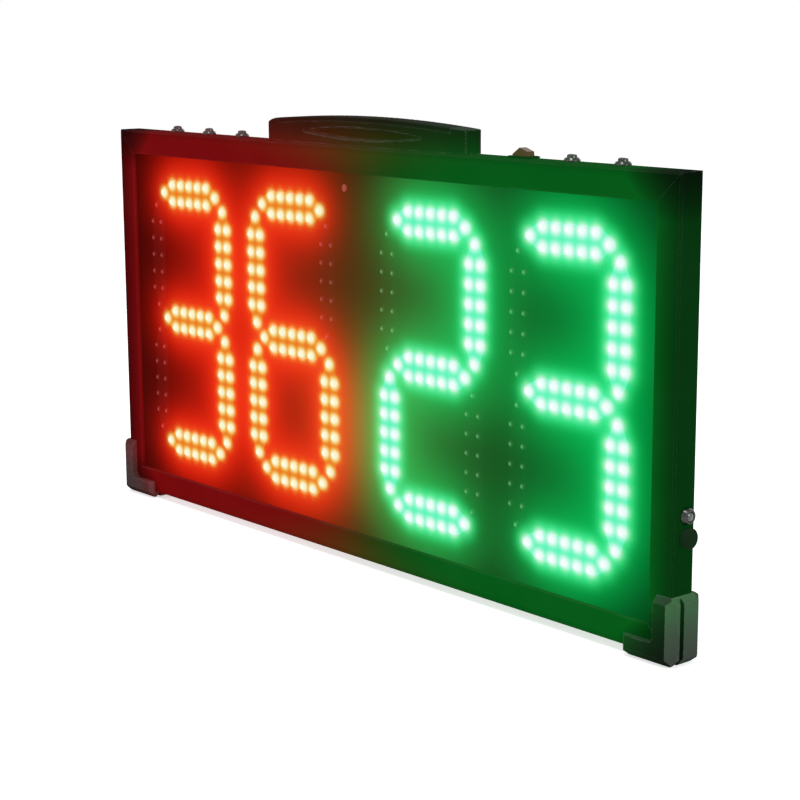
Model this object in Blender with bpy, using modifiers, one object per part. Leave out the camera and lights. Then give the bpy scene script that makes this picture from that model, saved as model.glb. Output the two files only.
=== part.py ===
"""Portable substitution board: four lamp digits in a mitred aluminium frame on two corner feet.

The board stands on its corner guards with its front towards -Y and +Z up. The origin is the
middle of the footprint, on the floor. Depths are counted from the frame's front face backwards.
"""
import math

import bmesh
import bpy
from mathutils import Matrix, Vector

MM = 0.001

# Frame depth, and the gap left between pieces that touch
BOARD_DEPTH = 22 * MM
EDGE_CHAMFER = 1.5 * MM
FIT = 0.3 * MM

# Frame extrusion: lip, wall, panel rib and back ledge
WALL = 2.0 * MM
LIP_WIDTH = 20.5 * MM
LIP_THICK = 2.8 * MM
LIP_BEVEL = 0.6 * MM
RIB_THICK = 1.6 * MM
RIB_REACH = 9.0 * MM
LEDGE_THICK = 1.8 * MM
LEDGE_REACH = 12.0 * MM

# Mask panel and back panel
MASK_THICK = 2.0 * MM
PANEL_INSET = 1.0 * MM
BACK_THICK = 1.5 * MM
BACK_INSET = 0.5 * MM

# Corner keys
KEY_THICK = 4.5 * MM
KEY_LEG = 36.0 * MM
KEY_BEVEL = 1.5 * MM

# Lamp layout of one digit
LAMPS_IN_ROW = 5
ACROSS_PITCH = 12.6 * MM
ACROSS_ROW_GAP = 14.7 * MM
UPRIGHT_PITCH = 14.7 * MM
UPRIGHT_COLUMN_GAP = 12.4 * MM
END_LAMP_STEP = 3.01
CORNER_ACROSS = 10.17 * MM
CORNER_UP = 11.30 * MM
DIGIT_PITCH = 143 * MM
LAMP_RADIUS = 2.5 * MM
LAMP_TIP_RADIUS = 1.45 * MM
LAMP_SIDES = 6
LAMP_ROOT = 0.5 * MM
LAMP_TIP_DEPTH = 0.3 * MM

# Segment bars and digit boards
BAR_BORDER = 1.0 * MM
BAR_POINT = 2.5 * MM
BAR_POINT_HALF = 1.9 * MM
BAR_SHOULDER = 3.3 * MM
BAR_FRONT_DEPTH = 2.5 * MM
BOARD_FRONT_DEPTH = 9.0 * MM
DIGIT_BOARD_THICK = 1.6 * MM
DIGIT_BOARD_BORDER = 3.5 * MM
MARGIN_SIDE = 20.8 * MM
MARGIN_TOP = 17.55 * MM
CHIP_LENGTH = 18.0 * MM
CHIP_WIDTH = 7.5 * MM
CHIP_HEIGHT = 1.4 * MM
CHIPS_ON_BOARD = 3

# Heat stakes that hold the digit boards
STAKE_INSET = 5.0 * MM
STAKE_BOSS_RADIUS = 2.4 * MM
STAKE_PIN_RADIUS = 1.1 * MM
STAKE_HEAD_RADIUS = 2.2 * MM
STAKE_HEAD_THICK = 1.2 * MM
STAKE_SIDES = 6

# Remote receiver
RECEIVER_X = -16.0 * MM
RECEIVER_RISE = 131.0 * MM
RECEIVER_RADIUS = 3.0 * MM
RECEIVER_FLANGE = 1.3 * MM
RECEIVER_BODY_DEPTH = 4.0 * MM

# Handle
HANDLE_LENGTH = 236 * MM
HANDLE_DEPTH = 18.5 * MM
HANDLE_END_HEIGHT = 17.5 * MM
HANDLE_MID_HEIGHT = 22.5 * MM
HANDLE_CORNER = 3.0 * MM
TOP_SHIFT = 5.0 * MM
HANDLE_END_BLOCK = 15.0 * MM
GRIP_THICK = 3.0 * MM
GRIP_BEVEL = 1.2 * MM
SCOOP_LENGTH = 142 * MM
SCOOP_DEPTH = 6.3 * MM
SCOOP_LOW = 4.6 * MM
SCOOP_HIGH = 14.6 * MM
SCOOP_TAPER = 4.4 * MM
ARCH_STEPS = 14
HANDLE_SCREW_INSET = 20 * MM
HANDLE_SCREW_RADIUS = 2.0 * MM
HANDLE_SCREW_REACH = 10.0 * MM
HANDLE_SCREW_HEAD_RADIUS = 3.6 * MM
HANDLE_SCREW_HEAD = 2.4 * MM
INSIDE_LINE_DEPTH = 12.4 * MM

# Push buttons
BUTTON_GROUP_INSET = 115.5 * MM
BUTTON_PITCH = 47.5 * MM
BUTTON_DEPTH = 13.0 * MM
BEZEL_RADIUS = 6.0 * MM
BEZEL_TOP_RADIUS = 4.8 * MM
BEZEL_HEIGHT = 3.0 * MM
BEZEL_RIM = 0.9 * MM
BARREL_RADIUS = 4.5 * MM
BARREL_LENGTH = 14.0 * MM
CAP_RADIUS = 3.6 * MM
CAP_PROUD = 2.6 * MM
CAP_DOME = 1.2 * MM
CAP_STEM = 7.2 * MM
BUTTON_TRAVEL = 1.5 * MM
SPRING_ROOM = 2.3 * MM
ROUND_SIDES = 16
CAP_SIDES = 12

# Rocker switch
ROCKER_FLANGE_LENGTH = 21.0 * MM
ROCKER_FLANGE_DEPTH = 12.0 * MM
ROCKER_FLANGE_THICK = 1.5 * MM
ROCKER_WALL = 1.0 * MM
ROCKER_HALF = 7.6 * MM
ROCKER_DEPTH = 6.6 * MM
ROCKER_RIDGE = 6.6 * MM
ROCKER_SHOULDER = 2.9 * MM
ROCKER_KEEL = 3.2 * MM
ROCKER_KEEL_HALF = 4.5 * MM
ROCKER_PIVOT_RISE = 0.8 * MM
ROCKER_SWING_ROOM = 0.7 * MM
ROCKER_WELL = 6.0 * MM
ROCKER_BODY_DEPTH = 13.0 * MM
ROCKER_PIN_RADIUS = 0.9 * MM
ROCKER_PIN_LENGTH = 0.7 * MM
ROCKER_TILT = 8.0

# Right side: charge indicator and charge socket
SIDE_LINE_DEPTH = 12.4 * MM
INDICATOR_BELOW_MIDDLE = 65.5 * MM
INDICATOR_RADIUS = 6.2 * MM
INDICATOR_RIM_RADIUS = 5.0 * MM
INDICATOR_PROUD = 4.4 * MM
INDICATOR_BARREL = 4.0 * MM
INDICATOR_LENGTH = 13.0 * MM
LENS_RADIUS = 3.2 * MM
LENS_SEAT = 3.0 * MM
SOCKET_BELOW_MIDDLE = 80.6 * MM
SOCKET_FLANGE_RADIUS = 7.0 * MM
SOCKET_FLANGE_THICK = 1.5 * MM
SOCKET_BARREL = 5.0 * MM
SOCKET_LENGTH = 14.0 * MM
SOCKET_BORE = 3.4 * MM
SOCKET_BORE_DEPTH = 9.0 * MM
SOCKET_PIN_RADIUS = 0.9 * MM
DUST_CAP_RADIUS = 7.4 * MM
DUST_CAP_THICK = 3.2 * MM
DUST_CAP_ROUND = 1.0 * MM
DUST_CAP_PLUG = 4.0 * MM
DUST_CAP_BORE = 1.5 * MM

# Corner guards
GUARD_PROUD = 5.5 * MM
GUARD_CHAMFER = 6.0 * MM
GUARD_LENGTH = 46.0 * MM
GUARD_HEIGHT = 49.0 * MM
GUARD_UPRIGHT_WIDTH = 17.5 * MM
GUARD_FOOT_HEIGHT = 15.2 * MM
GUARD_WEB = 1.5 * MM
GUARD_GROOVE_START = 3.0 * MM
GUARD_GROOVE_WIDTH = 4.2 * MM
GUARD_TOP_BEVEL = 4.5 * MM
GUARD_END_BEVEL = 3.0 * MM
GUARD_INNER_BEVEL = 4.0 * MM
GUARD_SCREW_PLACES = (14 * MM, 30 * MM)
GUARD_SCREW_DEPTH = 13.0 * MM
GUARD_SCREW_RADIUS = 2.0 * MM
GUARD_SCREW_HEAD_RADIUS = 3.3 * MM
GUARD_SCREW_HEAD = 1.9 * MM
GUARD_SCREW_RECESS = 3.0 * MM

# Back panel screws and inside pieces
BACK_SCREW_INSET = 8.0 * MM
BACK_SCREW_END = 46 * MM
BACK_SCREW_RADIUS = 1.5 * MM
BACK_SCREW_HEAD_RADIUS = 2.9 * MM
BACK_SCREW_HEAD = 1.7 * MM
BACK_SCREW_LENGTH = 6.0 * MM
SCREW_SIDES = 10
CONTROL_WIDTH = 96 * MM
CONTROL_HEIGHT = 78 * MM
CONTROL_THICK = 1.6 * MM
CONTROL_DEPTH = 13.6 * MM
STUD_RADIUS = 2.4 * MM
STUD_INSET = 6.0 * MM
CONTROL_CHIP = 16.0 * MM
CONTROL_CHIP_HEIGHT = 1.8 * MM
PLUG_LENGTH = 16.0 * MM
PLUG_WIDTH = 6.0 * MM
PLUG_HEIGHT = 3.4 * MM
BATTERY_WIDTH = 42 * MM
BATTERY_HEIGHT = 128 * MM
BATTERY_THICK = 9.0 * MM
BATTERY_CELLS = 3
BATTERY_GROOVE = 1.2 * MM
CLAMP_WIDTH = 22.0 * MM
CLAMP_THICK = 1.2 * MM
CLAMP_FOOT = 8.0 * MM
CLAMP_CLEAR = 1.6 * MM
RIBBON_WIDTH = 12.0 * MM
RIBBON_THICK = 0.9 * MM
RIBBON_DEPTH = 16.4 * MM
RIBBON_PASS = 20.0 * MM
RIBBON_PLUG_SETOFF = 22.0 * MM
RIBBON_CLEAR = 3.0 * MM
LEAD_RADIUS = 1.6 * MM
LEAD_BEND = 5.0 * MM
LEAD_RISE = 8.0 * MM
LOOM_DROP = 18.5 * MM
LOOM_SIDES = 8
CUT_OVER = 1.0 * MM

# Places worked out from the sizes above
SEGMENT_SIDE = END_LAMP_STEP * ACROSS_PITCH + CORNER_ACROSS
SEGMENT_RISE = END_LAMP_STEP * UPRIGHT_PITCH + CORNER_UP
BAR_REACH = LAMP_RADIUS + BAR_BORDER
DIGIT_HALF_WIDTH = SEGMENT_SIDE + UPRIGHT_COLUMN_GAP / 2 + BAR_REACH + DIGIT_BOARD_BORDER
DIGIT_HALF_HEIGHT = 2 * SEGMENT_RISE + ACROSS_ROW_GAP / 2 + BAR_REACH + DIGIT_BOARD_BORDER
CLAMP_HALF = BATTERY_WIDTH / 2 + FIT + CLAMP_THICK
INNER_DIGIT = DIGIT_HALF_WIDTH + CLAMP_HALF + CLAMP_CLEAR
OUTER_DIGIT = INNER_DIGIT + DIGIT_PITCH
BOARD_WIDTH = 2 * (OUTER_DIGIT + DIGIT_HALF_WIDTH + MARGIN_SIDE + LIP_WIDTH)
BOARD_HEIGHT = 2 * (DIGIT_HALF_HEIGHT + MARGIN_TOP + LIP_WIDTH)
GRIP_LENGTH = HANDLE_LENGTH - 2 * HANDLE_END_BLOCK
HANDLE_SCREW_SPREAD = HANDLE_LENGTH / 2 - HANDLE_SCREW_INSET
BUTTON_GROUP = BOARD_WIDTH / 2 - BUTTON_GROUP_INSET
BACK_SCREW_SPREAD = BOARD_WIDTH / 2 - BACK_SCREW_END
CONTROL_X = CLAMP_HALF + RIBBON_CLEAR + RIBBON_WIDTH + CONTROL_WIDTH / 2
FRAME_LOW = GUARD_PROUD
FRAME_HIGH = FRAME_LOW + BOARD_HEIGHT
MIDDLE_Z = FRAME_LOW + BOARD_HEIGHT / 2
HALF_WIDTH = BOARD_WIDTH / 2
HALF_HEIGHT = BOARD_HEIGHT / 2
MASK_FRONT = LIP_THICK + FIT
MASK_BACK = MASK_FRONT + MASK_THICK
RIB_FRONT = MASK_BACK + FIT
RIB_BACK = RIB_FRONT + RIB_THICK
PANEL_BACK = BOARD_DEPTH - BACK_INSET
PANEL_FRONT = PANEL_BACK - BACK_THICK
LEDGE_BACK = PANEL_FRONT - FIT
LEDGE_FRONT = LEDGE_BACK - LEDGE_THICK
BOARD_BACK_DEPTH = BOARD_FRONT_DEPTH + DIGIT_BOARD_THICK
CONTROL_BACK = CONTROL_DEPTH + CONTROL_THICK

BLACK = (0.012, 0.012, 0.014)
MATERIALS = {
    "frame_black": ((0.020, 0.021, 0.023), 0.38, 0.0),
    "mask_black": (BLACK, 0.55, 0.0),
    "segment_lens": ((0.09, 0.09, 0.09), 0.30, 0.0),
    "smoked_dome": ((0.05, 0.01, 0.01), 0.12, 0.0),
    "panel_grey": ((0.035, 0.036, 0.038), 0.50, 0.3),
    "key_aluminium": ((0.62, 0.62, 0.63), 0.35, 1.0),
    "screw_steel": ((0.55, 0.55, 0.56), 0.30, 1.0),
    "handle_plastic": ((0.018, 0.018, 0.020), 0.42, 0.0),
    "grip_rubber": ((0.022, 0.022, 0.024), 0.62, 0.0),
    "button_chrome": ((0.75, 0.75, 0.77), 0.12, 1.0),
    "switch_plastic": ((0.015, 0.015, 0.016), 0.35, 0.0),
    "rocker_orange": ((0.42, 0.12, 0.03), 0.35, 0.0),
    "indicator_lens": ((0.02, 0.25, 0.10), 0.15, 0.0),
    "cap_rubber": ((0.014, 0.014, 0.015), 0.70, 0.0),
    "guard_plastic": ((0.045, 0.046, 0.048), 0.50, 0.0),
    "circuit_green": ((0.02, 0.16, 0.06), 0.45, 0.0),
    "battery_wrap": ((0.05, 0.12, 0.30), 0.35, 0.0),
    "lead_grey": ((0.12, 0.12, 0.13), 0.50, 0.0),
}


def depth(distance):
    """The Y coordinate of a depth behind the frame's front face."""
    return distance - BOARD_DEPTH / 2


def clear_scene():
    for obj in list(bpy.data.objects):
        bpy.data.objects.remove(obj, do_unlink=True)


def collection(name):
    found = bpy.data.collections.new(name)
    bpy.context.scene.collection.children.link(found)
    return found


def material(name):
    """One Principled material for each finish, made the first time that it is asked for."""
    found = bpy.data.materials.get(name)
    if found:
        return found
    colour, roughness, metallic = MATERIALS[name]
    found = bpy.data.materials.new(name)
    found.use_nodes = True
    shader = found.node_tree.nodes["Principled BSDF"]
    shader.inputs["Base Color"].default_value = (*colour, 1.0)
    shader.inputs["Roughness"].default_value = roughness
    shader.inputs["Metallic"].default_value = metallic
    found.diffuse_color = (*colour, 1.0)
    return found


clear_scene()
PARTS = collection("substitution_board")
CUTTERS = collection("cutters")


def piece(name, mesh, finish, place=(0, 0, 0)):
    obj = bpy.data.objects.new(name, mesh)
    obj.location = place
    if not mesh.materials:
        mesh.materials.append(material(finish))
    PARTS.objects.link(obj)
    return obj


def cutter(name, mesh, place=(0, 0, 0)):
    obj = bpy.data.objects.new(name, mesh)
    obj.location = place
    obj.hide_render = True
    obj.display_type = "WIRE"
    CUTTERS.objects.link(obj)
    return obj


def boolean(obj, tool, operation):
    step = obj.modifiers.new(tool.name, "BOOLEAN")
    step.operation = operation
    step.object = tool
    step.solver = "EXACT"


def cut(obj, *tools):
    for tool in tools:
        boolean(obj, tool, "DIFFERENCE")


def join(obj, *tools):
    for tool in tools:
        boolean(obj, tool, "UNION")


def finished(bm, name):
    bmesh.ops.recalc_face_normals(bm, faces=bm.faces)
    mesh = bpy.data.meshes.new(name)
    bm.to_mesh(mesh)
    bm.free()
    return mesh


def add_box(bm, low, high):
    """Adds the box between two corners and returns its vertices."""
    low, high = Vector(low), Vector(high)
    size = high - low
    place = Matrix.Translation((low + high) / 2) @ Matrix.Diagonal((*size, 1))
    return bmesh.ops.create_cube(bm, size=1, matrix=place)["verts"]


def box_mesh(name, low, high):
    bm = bmesh.new()
    add_box(bm, low, high)
    return finished(bm, name)


def boxes_mesh(name, boxes):
    """Separate boxes in one mesh, as a cutter or as pieces to join."""
    bm = bmesh.new()
    for low, high in boxes:
        add_box(bm, low, high)
    return finished(bm, name)


def push_out(bm, corners, travel):
    """Extrudes the face between the corners along travel."""
    face = bm.faces.new(corners)
    swept = bmesh.ops.extrude_face_region(bm, geom=[face])["geom"]
    moved = [item for item in swept if isinstance(item, bmesh.types.BMVert)]
    bmesh.ops.translate(bm, vec=travel, verts=moved)


def add_prism(bm, outline, near, far):
    """Adds an (x, z) outline extruded from y = near to y = far."""
    corners = [bm.verts.new((x, near, z)) for x, z in outline]
    push_out(bm, corners, (0, far - near, 0))


def prism_mesh(name, outline, near, far):
    bm = bmesh.new()
    add_prism(bm, outline, near, far)
    return finished(bm, name)


def bevel_edges(bm, chosen, width, segments=1):
    edges = [edge for edge in bm.edges if chosen(*(vert.co for vert in edge.verts))]
    bmesh.ops.bevel(bm, geom=edges, offset=width, segments=segments, profile=0.5, affect="EDGES")


def add_rod(bm, low, high, radius, sides, tip_radius=None):
    """Adds a round bar between two points, or a tapered one if tip_radius is given."""
    low, high = Vector(low), Vector(high)
    along = high - low
    turn = along.to_track_quat("Z", "Y").to_matrix().to_4x4()
    place = Matrix.Translation((low + high) / 2) @ turn
    bmesh.ops.create_cone(
        bm,
        cap_ends=True,
        segments=sides,
        radius1=radius,
        radius2=radius if tip_radius is None else tip_radius,
        depth=along.length,
        matrix=place,
    )


def rods_mesh(name, rods):
    """Round bars in one mesh: each is (low, high, radius, sides)."""
    bm = bmesh.new()
    for rod in rods:
        add_rod(bm, *rod)
    return finished(bm, name)


def turned(name, profile, finish, place, sides, turn=(0, 0, 0)):
    """A solid turned about Z from an (r, z) profile that runs from top to bottom."""
    mesh = bpy.data.meshes.new(name)
    points = [(r, 0, z) for r, z in profile]
    mesh.from_pydata(points, [(i, i + 1) for i in range(len(points) - 1)], [])
    obj = piece(name, mesh, finish, place)
    obj.rotation_euler = turn
    screw = obj.modifiers.new("turn", "SCREW")
    screw.steps = sides
    screw.render_steps = sides
    screw.use_merge_vertices = True
    screw.merge_threshold = 0.00001
    screw.use_smooth_shade = True
    return obj


def made_mesh(obj, name):
    """The mesh of an object after its modifiers, for pieces that share it."""
    bpy.context.view_layer.update()
    graph = bpy.context.evaluated_depsgraph_get()
    mesh = bpy.data.meshes.new_from_object(obj.evaluated_get(graph))
    mesh.name = name
    return mesh


# Frame


def rail_outline():
    """The extrusion's section as (distance in from the outer face, depth) points."""
    c = EDGE_CHAMFER
    return [
        (0, c),
        (c, 0),
        (LIP_WIDTH - LIP_BEVEL, 0),
        (LIP_WIDTH, LIP_BEVEL),
        (LIP_WIDTH, LIP_THICK),
        (WALL, LIP_THICK),
        (WALL, RIB_FRONT),
        (RIB_REACH, RIB_FRONT),
        (RIB_REACH, RIB_BACK),
        (WALL, RIB_BACK),
        (WALL, LEDGE_FRONT),
        (LEDGE_REACH, LEDGE_FRONT),
        (LEDGE_REACH, LEDGE_BACK),
        (WALL, LEDGE_BACK),
        (WALL, BOARD_DEPTH),
        (c, BOARD_DEPTH),
        (0, BOARD_DEPTH - c),
    ]


def frame_rail(name, length, half_span, turn):
    """A length of the extrusion, mitred at both ends, for one side of the frame."""
    bm = bmesh.new()
    section = [bm.verts.new((-length / 2, depth(d), half_span - u)) for u, d in rail_outline()]
    push_out(bm, section, (length, 0, 0))
    for side in (-1, 1):
        point = (side * (length / 2 - FIT / 2), 0, half_span)
        clip(bm, point, (side, 0, -1))
    obj = piece(name, finished(bm, name), "frame_black", (0, 0, MIDDLE_Z))
    obj.rotation_euler = (0, turn, 0)
    return obj


def clip(bm, point, normal):
    """Cuts away what lies past a plane and closes the cut."""
    geometry = bm.verts[:] + bm.edges[:] + bm.faces[:]
    found = bmesh.ops.bisect_plane(
        bm, geom=geometry, plane_co=point, plane_no=Vector(normal).normalized(), clear_outer=True
    )
    rim = [item for item in found["geom_cut"] if isinstance(item, bmesh.types.BMEdge)]
    bmesh.ops.edgeloop_fill(bm, edges=rim)


def corner_key(name, side, up):
    """An L cleat in the pocket between rib and ledge, behind the walls of two rails."""
    near = WALL + FIT
    far = near + KEY_LEG
    thick = near + KEY_THICK
    outline = [(near, near), (far, near), (far, thick), (thick, thick), (thick, far), (near, far)]
    points = [(side * (HALF_WIDTH - a), MIDDLE_Z + up * (HALF_HEIGHT - b)) for a, b in outline]
    bm = bmesh.new()
    add_prism(bm, points, depth(RIB_BACK + FIT), depth(LEDGE_FRONT - FIT))
    inner = (side * (HALF_WIDTH - thick), MIDDLE_Z + up * (HALF_HEIGHT - thick))

    def at_inner_corner(a, b):
        near_a = abs(a.x - inner[0]) < FIT / 10 and abs(a.z - inner[1]) < FIT / 10
        near_b = abs(b.x - inner[0]) < FIT / 10 and abs(b.z - inner[1]) < FIT / 10
        return near_a and near_b

    bevel_edges(bm, at_inner_corner, KEY_BEVEL, 2)
    return piece(name, finished(bm, name), "key_aluminium")


# Display


def segments():
    """The seven segments of a digit as (x, z, upright), about the digit's centre."""
    across = [(0, level * 2 * SEGMENT_RISE, False) for level in (-1, 0, 1)]
    upright = [(x * SEGMENT_SIDE, z * SEGMENT_RISE, True) for x in (-1, 1) for z in (-1, 1)]
    return across + upright


def segment_sizes(upright):
    """Lamp pitch along a segment and half the gap between its two rows."""
    if upright:
        return UPRIGHT_PITCH, UPRIGHT_COLUMN_GAP / 2
    return ACROSS_PITCH, ACROSS_ROW_GAP / 2


def segment_lamps(upright):
    """Two rows of five lamps and one lamp at each end, as (along, aside) places."""
    pitch, half_gap = segment_sizes(upright)
    steps = [i - (LAMPS_IN_ROW - 1) / 2 for i in range(LAMPS_IN_ROW)]
    rows = [(step * pitch, side * half_gap) for side in (-1, 1) for step in steps]
    ends = [(side * END_LAMP_STEP * pitch, 0) for side in (-1, 1)]
    return rows + ends


def segment_outline(upright, grow):
    """The pointed bar round a segment's lamps, as (along, aside) points grown by a clearance."""
    pitch, half_gap = segment_sizes(upright)
    shoulder = (LAMPS_IN_ROW - 1) / 2 * pitch + BAR_SHOULDER
    point = END_LAMP_STEP * pitch + LAMP_RADIUS + BAR_POINT + grow
    half = half_gap + BAR_REACH + grow
    tip = BAR_POINT_HALF + grow / 2
    quarter = [(shoulder, half), (point, tip)]
    right = quarter + [(a, -b) for a, b in reversed(quarter)]
    return right + [(-a, -b) for a, b in right]


def placed(points, segment):
    """Points along and aside of a segment as (x, z) places on the digit."""
    x, z, upright = segment
    if upright:
        return [(x + aside, z + along) for along, aside in points]
    return [(x + along, z + aside) for along, aside in points]


def digit_centres():
    return (-OUTER_DIGIT, -INNER_DIGIT, INNER_DIGIT, OUTER_DIGIT)


def stake_places():
    """The heat stakes of one digit, near the corners of its board, as (x, z)."""
    wide = DIGIT_HALF_WIDTH - STAKE_INSET
    high = DIGIT_HALF_HEIGHT - STAKE_INSET
    return [(sx * wide, sz * high) for sx in (-1, 1) for sz in (-1, 1)]


def digit_module_mesh():
    """A circuit board with seven raised bars, eighty-four lamps and its driver chips."""
    board = box_mesh(
        "digit_board_blank",
        (-DIGIT_HALF_WIDTH, depth(BOARD_FRONT_DEPTH), -DIGIT_HALF_HEIGHT),
        (DIGIT_HALF_WIDTH, depth(BOARD_BACK_DEPTH), DIGIT_HALF_HEIGHT),
    )
    blank = cutter("digit_board_blank", board)
    bars = bmesh.new()
    lamps = bmesh.new()
    for segment in segments():
        outline = placed(segment_outline(segment[2], 0), segment)
        add_prism(bars, outline, depth(BAR_FRONT_DEPTH), depth(BOARD_FRONT_DEPTH + LAMP_ROOT))
        for x, z in placed(segment_lamps(segment[2]), segment):
            root = (x, depth(BAR_FRONT_DEPTH + LAMP_ROOT), z)
            tip = (x, depth(LAMP_TIP_DEPTH), z)
            add_rod(lamps, root, tip, LAMP_RADIUS, LAMP_SIDES, LAMP_TIP_RADIUS)
    chips = []
    for i in range(CHIPS_ON_BOARD):
        z = (i - (CHIPS_ON_BOARD - 1) / 2) * SEGMENT_RISE
        low = (-CHIP_LENGTH / 2, depth(BOARD_BACK_DEPTH - LAMP_ROOT), z - CHIP_WIDTH / 2)
        high = (CHIP_LENGTH / 2, depth(BOARD_BACK_DEPTH + CHIP_HEIGHT), z + CHIP_WIDTH / 2)
        chips.append((low, high))
    holes = [
        (
            (x, depth(BOARD_FRONT_DEPTH - CUT_OVER), z),
            (x, depth(BOARD_BACK_DEPTH + CUT_OVER), z),
            STAKE_PIN_RADIUS + FIT,
            STAKE_SIDES,
        )
        for x, z in stake_places()
    ]
    join(blank, cutter("segment_bars", finished(bars, "segment_bars")))
    join(blank, cutter("segment_lamps", finished(lamps, "segment_lamps")))
    join(blank, cutter("driver_chips", boxes_mesh("driver_chips", chips)))
    cut(blank, cutter("stake_holes", rods_mesh("stake_holes", holes)))
    return made_mesh(blank, "digit_module")


def display():
    module = digit_module_mesh()
    names = ("digit_1", "digit_2", "digit_3", "digit_4")
    for name, x in zip(names, digit_centres()):
        piece(name, module, "segment_lens", (x, 0, MIDDLE_Z))


def mask_panel():
    """The black panel with a window for each segment, and the stakes behind it."""
    half_w = HALF_WIDTH - WALL - PANEL_INSET
    half_h = HALF_HEIGHT - WALL - PANEL_INSET
    low = (-half_w, depth(MASK_FRONT), MIDDLE_Z - half_h)
    high = (half_w, depth(MASK_BACK), MIDDLE_Z + half_h)
    panel = piece("mask_panel", box_mesh("mask_panel", low, high), "mask_black")
    windows = bmesh.new()
    stakes = bmesh.new()
    for centre in digit_centres():
        for segment in segments():
            points = placed(segment_outline(segment[2], FIT), segment)
            shifted = [(x + centre, z + MIDDLE_Z) for x, z in points]
            add_prism(windows, shifted, depth(MASK_FRONT - CUT_OVER), depth(MASK_BACK + CUT_OVER))
        for x, z in stake_places():
            profile = [
                (STAKE_BOSS_RADIUS, MASK_BACK - MASK_THICK / 2),
                (STAKE_BOSS_RADIUS, BOARD_FRONT_DEPTH - FIT),
                (STAKE_PIN_RADIUS, BOARD_FRONT_DEPTH - FIT),
                (STAKE_PIN_RADIUS, BOARD_BACK_DEPTH + FIT),
                (STAKE_HEAD_RADIUS, BOARD_BACK_DEPTH + FIT),
                (STAKE_HEAD_RADIUS, BOARD_BACK_DEPTH + FIT + STAKE_HEAD_THICK),
            ]
            add_stake(stakes, x + centre, z + MIDDLE_Z, profile)
    cut(panel, cutter("segment_windows", finished(windows, "segment_windows")))
    sight = rods_mesh(
        "receiver_hole",
        [
            (
                (RECEIVER_X, depth(MASK_FRONT - CUT_OVER), MIDDLE_Z + RECEIVER_RISE),
                (RECEIVER_X, depth(MASK_BACK + CUT_OVER), MIDDLE_Z + RECEIVER_RISE),
                RECEIVER_RADIUS + FIT,
                CAP_SIDES,
            )
        ],
    )
    cut(panel, cutter("receiver_hole", sight))
    join(panel, cutter("heat_stakes", finished(stakes, "heat_stakes")))


def add_stake(bm, x, z, profile):
    """Adds a stepped pin, spun about its own axis from a (radius, depth) profile."""
    points = [bm.verts.new((x + radius, depth(back), z)) for radius, back in profile]
    edges = [bm.edges.new(pair) for pair in zip(points, points[1:])]
    made = bmesh.ops.spin(
        bm,
        geom=points + edges,
        cent=(x, 0, z),
        axis=(0, 1, 0),
        angle=2 * math.pi,
        steps=STAKE_SIDES,
        use_merge=True,
    )
    new_points = [item for item in made["geom_last"] if isinstance(item, bmesh.types.BMVert)]
    bmesh.ops.remove_doubles(bm, verts=list(set(points + new_points)), dist=FIT / 100)
    rims = [edge for edge in bm.edges if edge.is_boundary]
    bmesh.ops.holes_fill(bm, edges=rims, sides=0)


def receiver():
    """The remote receiver's dome, which looks out through the mask panel."""
    z = MIDDLE_Z + RECEIVER_RISE
    flange = RECEIVER_RADIUS + RECEIVER_FLANGE
    proud = MASK_FRONT - BAR_FRONT_DEPTH
    seat = MASK_THICK + FIT
    profile = [
        (0, proud),
        (RECEIVER_RADIUS * 0.7, proud * 0.6),
        (RECEIVER_RADIUS, 0),
        (RECEIVER_RADIUS, -seat),
        (flange, -seat),
        (flange, -seat - RECEIVER_BODY_DEPTH),
        (0, -seat - RECEIVER_BODY_DEPTH),
    ]
    place = (RECEIVER_X, depth(MASK_FRONT), z)
    turned("remote_receiver", profile, "smoked_dome", place, CAP_SIDES, (math.pi / 2, 0, 0))


# Handle


def arch(x, drop):
    """Height of the handle's crown above the rail at x, lowered by drop."""
    share = 1 - (2 * x / HANDLE_LENGTH) ** 2
    return HANDLE_END_HEIGHT + (HANDLE_MID_HEIGHT - HANDLE_END_HEIGHT) * share - drop


def arch_points(half, drop, steps):
    """Points of the crown from -half to +half."""
    spots = [half * (2 * i / steps - 1) for i in range(steps + 1)]
    return [(x, arch(x, drop)) for x in spots]


def shift_up(points):
    """Handle points, counted from the rail's top, as places on the board."""
    return [(x + TOP_SHIFT, z + FRAME_HIGH + FIT) for x, z in points]


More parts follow.
